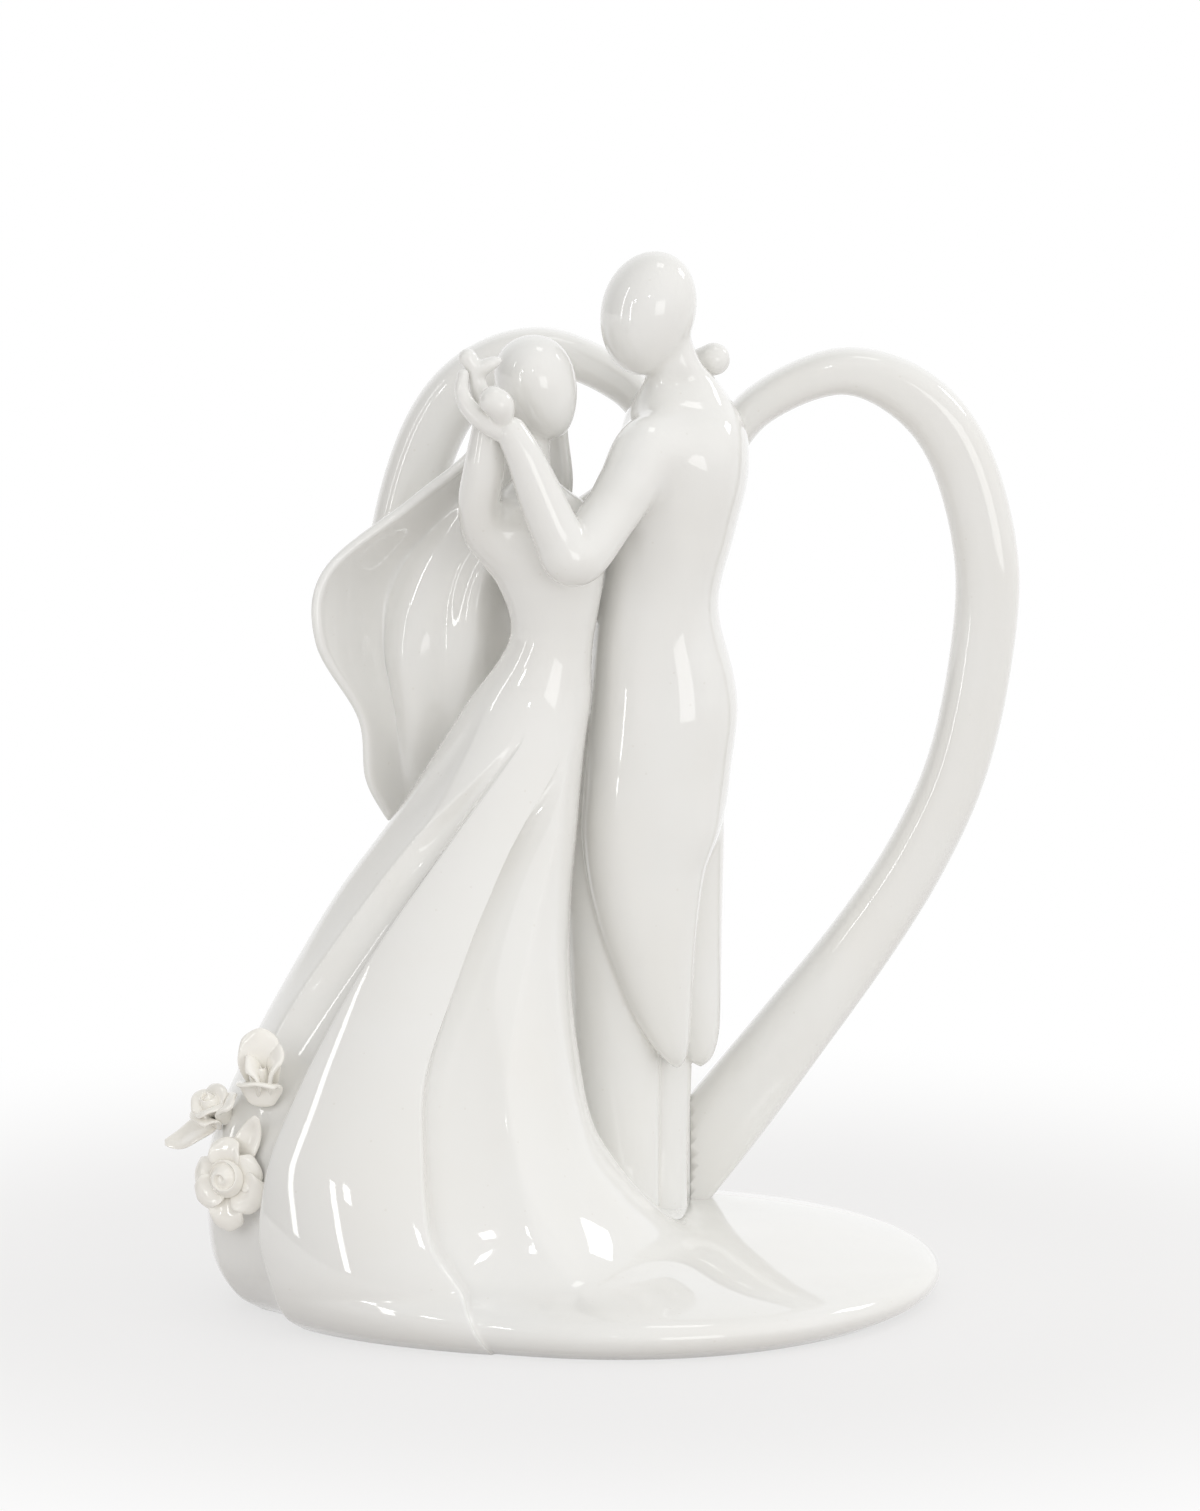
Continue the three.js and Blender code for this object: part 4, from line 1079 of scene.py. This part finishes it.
def finish_tree(tree, geometry, material):
    whole = add_node(tree, "GeometryNodeRealizeInstances", {"Geometry": geometry})
    smooth = add_node(tree, "GeometryNodeSetShadeSmooth", {"Geometry": whole["Geometry"]})
    dressed = add_node(tree, "GeometryNodeSetMaterial",
                       {"Geometry": smooth["Geometry"], "Material": material})
    add_node(tree, "NodeGroupOutput", {"Geometry": dressed["Geometry"]})


def grown_mesh(source, tree, values):
    """The plain mesh that a tree makes of an object. The source object is removed."""
    modifier = source.modifiers.new(tree.name, "NODES")
    modifier.node_group = tree
    for item in tree.interface.items_tree:
        if item.in_out == "INPUT" and item.name in values:
            modifier[item.identifier] = values[item.name]
    bpy.context.view_layer.update()
    evaluated = source.evaluated_get(bpy.context.evaluated_depsgraph_get())
    mesh = bpy.data.meshes.new_from_object(evaluated)
    bpy.data.objects.remove(source)
    return mesh


def poly_curve(name, points, closed, widths=None):
    """A curve object through points in metres; widths become the radius of its points."""
    curve = bpy.data.curves.new(name, "CURVE")
    curve.dimensions = "3D"
    spline = curve.splines.new("POLY")
    spline.points.add(len(points) - 1)
    for i, (point, at) in enumerate(zip(spline.points, points)):
        point.co = (*at, 1)
        point.radius = 1 if widths is None else widths[i]
    spline.use_cyclic_u = closed
    return linked_object(name, curve)


# Heart

def heart_path(side):
    """Middle line of one half of the heart and the band's width along it."""
    rows = smooth_rows(HEART_HALF, per_span=10)
    across, height, width = rows.T
    if side < 0:
        lobe = smooth_step(height, LOBE_FOOT, LOBE_TOP)
        across = across * (1 + (LEFT_LOBE_WIDTH - 1) * lobe)
        height = height + LEFT_LOBE_LIFT * lobe
    points = np.stack([HEART_X + side * across, np.full(len(rows), float(HEART_Y)), height], 1)
    return points, width


def band_profile(side, sides=96, outer=0.8, inner=0.6):
    """Section of the band in a square of side 2: rounded, with a crisper edge towards the heart's window."""
    turn = np.linspace(0, 2 * math.pi, sides, endpoint=False)
    roundness = np.where(np.cos(turn) > 0, inner, outer)
    across = np.sign(np.cos(turn)) * np.abs(np.cos(turn)) ** roundness
    deep = np.sign(np.sin(turn)) * np.abs(np.sin(turn)) ** outer
    return np.stack([deep, side * across, np.zeros(sides)], 1)


def cut_at_axis(mesh, side):
    """Ends a half of the heart at the heart's axis, with flat closed ends."""
    shape = bmesh.new()
    shape.from_mesh(mesh)
    everything = [*shape.verts, *shape.edges, *shape.faces]
    axis = ((HEART_X + side * HEART_SEAM) * MM, 0, 0)
    cut = bmesh.ops.bisect_plane(
        shape, geom=everything, plane_co=axis, plane_no=(-side, 0, 0), clear_outer=True)
    rims = [part for part in cut["geom_cut"] if isinstance(part, bmesh.types.BMEdge)]
    bmesh.ops.holes_fill(shape, edges=rims)
    shape.to_mesh(mesh)
    shape.free()


def heart_tree(material, depth):
    """Sweeps the profile along a path, as wide as its points say, and gives the band one even depth."""
    tree = node_tree("HeartBand", [
        ("Profile", "NodeSocketObject", None),
        ("Band Depth", "NodeSocketFloat", depth),
        ("Band Plane", "NodeSocketFloat", HEART_Y * MM),
    ])
    given = add_node(tree, "NodeGroupInput")
    width = add_node(tree, "GeometryNodeInputRadius")["Radius"]
    kept = add_node(tree, "GeometryNodeStoreNamedAttribute",
                    {"Geometry": given["Geometry"], "Name": "band_width", "Value": width}, data_type="FLOAT")
    steady = add_node(tree, "GeometryNodeSetCurveNormal",
                      {"Curve": kept["Geometry"], "Normal": (0, 1, 0)}, mode="FREE")
    profile = add_node(tree, "GeometryNodeObjectInfo", {"Object": given["Profile"]})
    band = add_node(tree, "GeometryNodeCurveToMesh",
                    {"Curve": steady["Curve"], "Profile Curve": profile["Geometry"],
                     "Scale": width, "Fill Caps": True})
    position = add_node(tree, "GeometryNodeInputPosition")[0]
    place = add_node(tree, "ShaderNodeSeparateXYZ", {0: position})
    off = math_node(tree, "SUBTRACT", place["Y"], given["Band Plane"])
    unit = math_node(tree, "DIVIDE", off, stored_value(tree, "band_width"))
    deep = math_node(tree, "MULTIPLY_ADD", unit, given["Band Depth"], given["Band Plane"])
    moved = add_node(tree, "ShaderNodeCombineXYZ", {"X": place["X"], "Y": deep, "Z": place["Z"]})
    even = add_node(tree, "GeometryNodeSetPosition",
                    {"Geometry": band["Mesh"], "Position": moved[0]})
    finish_tree(tree, even["Geometry"], material)
    return tree


class TOPPER_OT_heart(bpy.types.Operator):
    """Sweeps the heart's band along its two halves"""

    bl_idname = "topper.heart"
    bl_label = "Heart"

    def execute(self, context):
        settings = context.scene.topper
        tree = heart_tree(glaze(settings), settings.heart_depth)
        for side, node in ((-1, "heart_left_half"), (1, "heart_right_half")):
            points, widths = heart_path(side)
            source = poly_curve("heart_path", points * MM, False, widths * MM)
            profile = poly_curve("heart_profile", band_profile(side) / 2, True)
            mesh = grown_mesh(source, tree, {"Profile": profile, "Band Depth": settings.heart_depth})
            bpy.data.objects.remove(profile)
            cut_at_axis(mesh, side)
            hand_over(linked_object(node + "_dressed", mesh), "glaze", node)
        return {"FINISHED"}


# Roses

def sheet_grid(columns, rows):
    """Places from -1 to 1 across a sheet and from 0 to 1 along it."""
    return (eased(columns) * 2 - 1)[None, :], eased(rows)[:, None]


def petal_middle(length, cup=0.95, curl=0.22, lip_start=0.68):
    """Middle surface of a petal along +X from its root, hollow towards +Z, with its lip turned out."""
    across, along = sheet_grid(25, 29)
    root, belly = 0.22, 0.32
    half = length * (root + belly * np.sin(math.pi * (0.06 + 0.66 * along)))
    corner_cut = 0.2 * np.abs(across) ** 1.5
    x = length * along * (1 - corner_cut * along)
    side_tuck = 0.1 * across**2
    y = half * across * (1 - side_tuck)
    lip = np.maximum(along - lip_start, 0) / (1 - lip_start)
    hollow = cup * 0.42 * half * across**2
    bow = 0.14 * length * np.sin(math.pi * along)
    ruffle = 0.05 * length * np.sin(3.2 * across + 0.8) * along**2
    return np.stack(np.broadcast_arrays(x, y, hollow + bow + ruffle - curl * length * lip**2), -1)


def leaf_middle(length, stretch=1.25, belly=0.36):
    """Middle surface of a folded, pointed petal along +X."""
    across, along = sheet_grid(21, 33)
    half = length * belly * np.sin(math.pi * (0.12 + 0.84 * along)) ** 0.8
    fold = 0.3 * half * np.abs(across) ** 1.4
    bow = 0.12 * length * np.sin(2.2 * math.pi * along) * along
    return np.stack(np.broadcast_arrays(length * stretch * along, half * across, fold + bow), -1)


def rose_heart(radius, turns=1.5, crest=1.0, dome=0.62, edge=0.22):
    """Vertices and faces of the rolled-up middle of a rose: a dome whose edge winds in as a spiral."""
    turn = np.linspace(0, 2 * math.pi, 96, endpoint=False)[None, :]
    share = np.linspace(1, 0.02, 44)[:, None]
    phase = (turns * share - turn / (2 * math.pi)) % 1
    ridge = smooth_step(phase, 0, edge) * (1 - smooth_step(phase, edge, 1))
    height = dome * radius * (1 - share**2) + crest * ridge * smooth_step(share, 0.02, 0.3)
    x = radius * share * np.cos(turn)
    y = radius * share * np.sin(turn)
    top = np.stack(np.broadcast_arrays(x, y, height), -1)
    under = [top[:1] * (out, out, 0) + (0, 0, -deep * radius) for out, deep in ROSE_UNDERSIDE]
    return closed_loft(np.concatenate([*under, top]))


def petals_tree(material):
    """Parts set round a rose: each vertex of the source carries the values of one part."""
    tree = node_tree("RoseParts", [("Part", "NodeSocketObject", None)])
    given = add_node(tree, "NodeGroupInput")
    turn, lean, size, wide, root, lift = (stored_value(tree, name) for name in PART_VALUES)
    x = math_node(tree, "MULTIPLY", math_node(tree, "COSINE", turn), root)
    y = math_node(tree, "MULTIPLY", math_node(tree, "SINE", turn), root)
    place = add_node(tree, "ShaderNodeCombineXYZ", {"X": x, "Y": y, "Z": lift})
    points = add_node(tree, "GeometryNodeMeshToPoints",
                      {"Mesh": given["Geometry"], "Position": place[0]})
    pitch = math_node(tree, "SUBTRACT", lean, math.pi / 2)
    euler = add_node(tree, "ShaderNodeCombineXYZ", {"Y": pitch, "Z": turn})
    rotation = add_node(tree, "FunctionNodeEulerToRotation", {"Euler": euler[0]})
    scale = add_node(tree, "ShaderNodeCombineXYZ", {"X": size, "Y": wide, "Z": 1.0})
    part = add_node(tree, "GeometryNodeObjectInfo", {"Object": given["Part"]})
    parts = add_node(tree, "GeometryNodeInstanceOnPoints",
                     {"Points": points["Points"], "Instance": part["Geometry"],
                      "Rotation": rotation["Rotation"], "Scale": scale[0]})
    finish_tree(tree, parts["Instances"], material)
    return tree


def part_points(name, parts):
    """A mesh with one vertex for each part of a rose, which carries its values in radians and metres."""
    mesh = bpy.data.meshes.new(name)
    mesh.from_pydata([(0, 0, 0)] * len(parts), [], [])
    units = (math.radians(1), math.radians(1), 1, 1, MM, MM)
    for label, unit, values in zip(PART_VALUES, units, np.array(parts, float).T):
        mesh.attributes.new(label, "FLOAT", "POINT").data.foreach_set("value", values * unit)
    return linked_object(name, mesh)


def gown_place(height, angle):
    """A point on the gown and the way out of it there."""
    rows = smooth_rows(BRIDE_COLUMN)
    turn = 6
    climb = 4

    def at(h, a):
        row = np.array([[h, *sides_at(rows, h)]])
        return gown_points(row, np.array([[a]]))[0, 0]

    along = at(height, angle + turn) - at(height, angle - turn)
    out = np.cross(along, at(height + climb, angle) - at(height - climb, angle))
    return at(height, angle), out / np.linalg.norm(out)


def rose_matrix(rose):
    """Where a rose stands: its +Z is the way it faces and its +Y is as upright as that allows."""
    at, out = gown_place(*rose["place"])
    face = Vector(rose["facing"]).normalized()
    right = Vector((0, 0, 1)).cross(face).normalized()
    turned = Matrix((right, face.cross(right), face)).transposed().to_4x4()
    return Matrix.Translation((at + out * ROSE_LIFT) * MM) @ turned


def rose_nodes(rose):
    name = rose["name"]
    nodes = [f"{name}_bud"] + [f"{name}_petal_{i + 1}" for i in range(rose["petals_replaced"])]
    return nodes + [n for n in (f"{name}_leaf",) if n in frame["nodes"]]


def joined_mesh(name, meshes):
    """One mesh of several, with the material of the first."""
    points = []
    faces = []
    for mesh in meshes:
        start = len(points)
        points += [v.co[:] for v in mesh.vertices]
        faces += [[start + i for i in p.vertices] for p in mesh.polygons]
    return smooth_mesh(name, points, faces, meshes[0].materials[0])


class TOPPER_OT_roses(bpy.types.Operator):
    """Models the three roses petal by petal and sets them on the gown"""

    bl_idname = "topper.roses"
    bl_label = "Roses"

    def execute(self, context):
        settings = context.scene.topper
        material = petal_glaze(settings)
        tree = petals_tree(material)
        length = settings.rose_reach / MM
        thickness = settings.petal_thickness / MM
        kinds = {
            "petals": piece_of("petal", *thick_sheet(petal_middle(length), thickness, thickness), material),
            "leaves": piece_of("leaf", *thick_sheet(leaf_middle(length), thickness, thickness), material),
            "hearts": piece_of("heart", *rose_heart(settings.rose_heart_radius / MM), material),
        }
        for rose in ROSES:
            meshes = []
            for kind, shape in kinds.items():
                if rose[kind]:
                    meshes.append(grown_mesh(part_points(kind, rose[kind]), tree, {"Part": shape}))
            mesh = joined_mesh(rose["name"], meshes)
            mesh.transform(rose_matrix(rose))
            hand_over(linked_object(rose["name"] + "_dressed", mesh), "petal_glaze", *rose_nodes(rose))
        for shape in kinds.values():
            bpy.data.objects.remove(shape)
        return {"FINISHED"}


# Stage

def seen_rays(tree):
    """1 for rays that show the background: camera, glossy and transmission rays."""
    path = add_node(tree, "ShaderNodeLightPath")
    first = math_node(tree, "MAXIMUM", path["Is Camera Ray"], path["Is Glossy Ray"])
    return math_node(tree, "MAXIMUM", first, path["Is Transmission Ray"])


def floor_material(color):
    """A pale floor that keeps the shadow near the topper and goes over into plain white."""
    material, tree, shader = new_material("floor")
    feed(tree, shader, {"Base Color": (*color, 1), "Roughness": 0.6})
    coords = add_node(tree, "ShaderNodeTexCoord")["Object"]
    distance = add_node(tree, "ShaderNodeVectorMath", {0: coords}, operation="LENGTH")["Value"]
    fade = map_range(tree, distance, FLOOR_FADE, interpolation_type="SMOOTHSTEP")
    pale = map_range(tree, fade, wanted=(FLOOR_PALENESS, 1))
    share = math_node(tree, "MULTIPLY", pale, seen_rays(tree))
    white = add_node(tree, "ShaderNodeEmission", {"Strength": 1})
    mix = add_node(tree, "ShaderNodeMixShader", {0: share, 1: shader.outputs[0], 2: white[0]})
    feed(tree, tree.nodes["Material Output"], {"Surface": mix[0]})
    return material


def studio_world():
    """White to the camera and behind the figure. As light it is brightest from the right and the front."""
    world = bpy.data.worlds.new("studio")
    world.use_nodes = True
    tree = world.node_tree
    way = add_node(tree, "ShaderNodeTexCoord")["Generated"]
    facing = add_node(tree, "ShaderNodeVectorMath", {0: way, 1: WORLD_LIGHT_WAY}, operation="DOT_PRODUCT")
    level = map_range(tree, facing["Value"], (-1, 1), WORLD_LEVELS)
    depth = add_node(tree, "ShaderNodeSeparateXYZ", {"Vector": way})["Y"]
    seen = add_node(tree, "ShaderNodeLightPath")["Is Camera Ray"]
    white = math_node(tree, "MAXIMUM", seen, map_range(tree, depth, WORLD_BACK))
    strength = add_node(tree, "ShaderNodeMix", {"Factor": white, "A": level, "B": 1})["Result"]
    feed(tree, tree.nodes["Background"], {"Color": (1, 1, 1, 1), "Strength": strength})
    return world


def softbox(name, place, size, power):
    lamp = bpy.data.lights.new(name, "AREA")
    lamp.shape = "RECTANGLE"
    lamp.size, lamp.size_y = size
    lamp.energy = power
    item = linked_object(name, lamp)
    item.location = place
    item.rotation_euler = (Vector(LAMP_TARGET) - Vector(place)).to_track_quat("-Z", "Y").to_euler()
    item.visible_camera = False


def photo_camera():
    camera = bpy.data.cameras.new("camera")
    camera.sensor_width = SENSOR
    camera.lens = SENSOR * PHOTO_FOCUS / PHOTO_HEIGHT
    camera.clip_end = 50
    item = linked_object("camera", camera)
    item.location = CAMERA_PLACE
    item.rotation_euler = (math.radians(CAMERA_TILT), 0, 0)
    return item


class TOPPER_OT_stage(bpy.types.Operator):
    """Sets up the floor, the white surroundings, the lamps and the camera"""

    bl_idname = "topper.stage"
    bl_label = "Stage"

    def execute(self, context):
        settings = context.scene.topper
        scene = context.scene
        reach = FLOOR_REACH / MM
        corners = [(-reach, -reach, 0), (reach, -reach, 0), (reach, reach, 0), (-reach, reach, 0)]
        floor = piece_of("floor", corners, [(0, 1, 2, 3)], floor_material(settings.floor_color))
        floor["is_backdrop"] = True
        scene.world = studio_world()
        for name, (place, size, share) in LAMPS.items():
            softbox(name, place, size, settings.lamp_power * share)
        scene.camera = photo_camera()
        scene.view_settings.view_transform = "Standard"
        return {"FINISHED"}


class TOPPER_PT_panel(bpy.types.Panel):
    """Lists the steps that build the topper and the values that they use"""

    bl_idname = "TOPPER_PT_panel"
    bl_label = "Porcelain Cake Topper"
    bl_space_type = "VIEW_3D"
    bl_region_type = "UI"
    bl_category = "Topper"

    def draw(self, context):
        settings = context.scene.topper
        for name in settings.bl_rna.properties.keys():
            if name not in ("rna_type", "name"):
                self.layout.prop(settings, name)
        for step in STEPS:
            self.layout.operator(step.bl_idname)


STEPS = (
    TOPPER_OT_gown,
    TOPPER_OT_bride,
    TOPPER_OT_groom,
    TOPPER_OT_veil,
    TOPPER_OT_heart,
    TOPPER_OT_roses,
    TOPPER_OT_stage,
)
CLASSES = (TopperSettings, *STEPS, TOPPER_PT_panel)


def register():
    for item in CLASSES:
        bpy.utils.register_class(item)
    bpy.types.Scene.topper = bpy.props.PointerProperty(type=TopperSettings)


def unregister():
    del bpy.types.Scene.topper
    for item in reversed(CLASSES):
        bpy.utils.unregister_class(item)


def dressed_box():
    """Lowest and highest corner of all the finished pieces, in metres."""
    points = []
    for piece in bpy.data.objects:
        if piece.name.endswith("_dressed"):
            points += [v.co for v in piece.data.vertices]
    points = np.array(points)
    return points.min(0), points.max(0)


def main():
    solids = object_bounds()
    register()
    bpy.ops.topper.gown()
    bpy.ops.topper.bride()
    bpy.ops.topper.groom()
    bpy.ops.topper.veil()
    bpy.ops.topper.heart()
    bpy.ops.topper.roses()
    bpy.ops.topper.stage()
    boxes = {"cad": solids, "visual": dressed_box()}


if __name__ == "__main__":
    main()
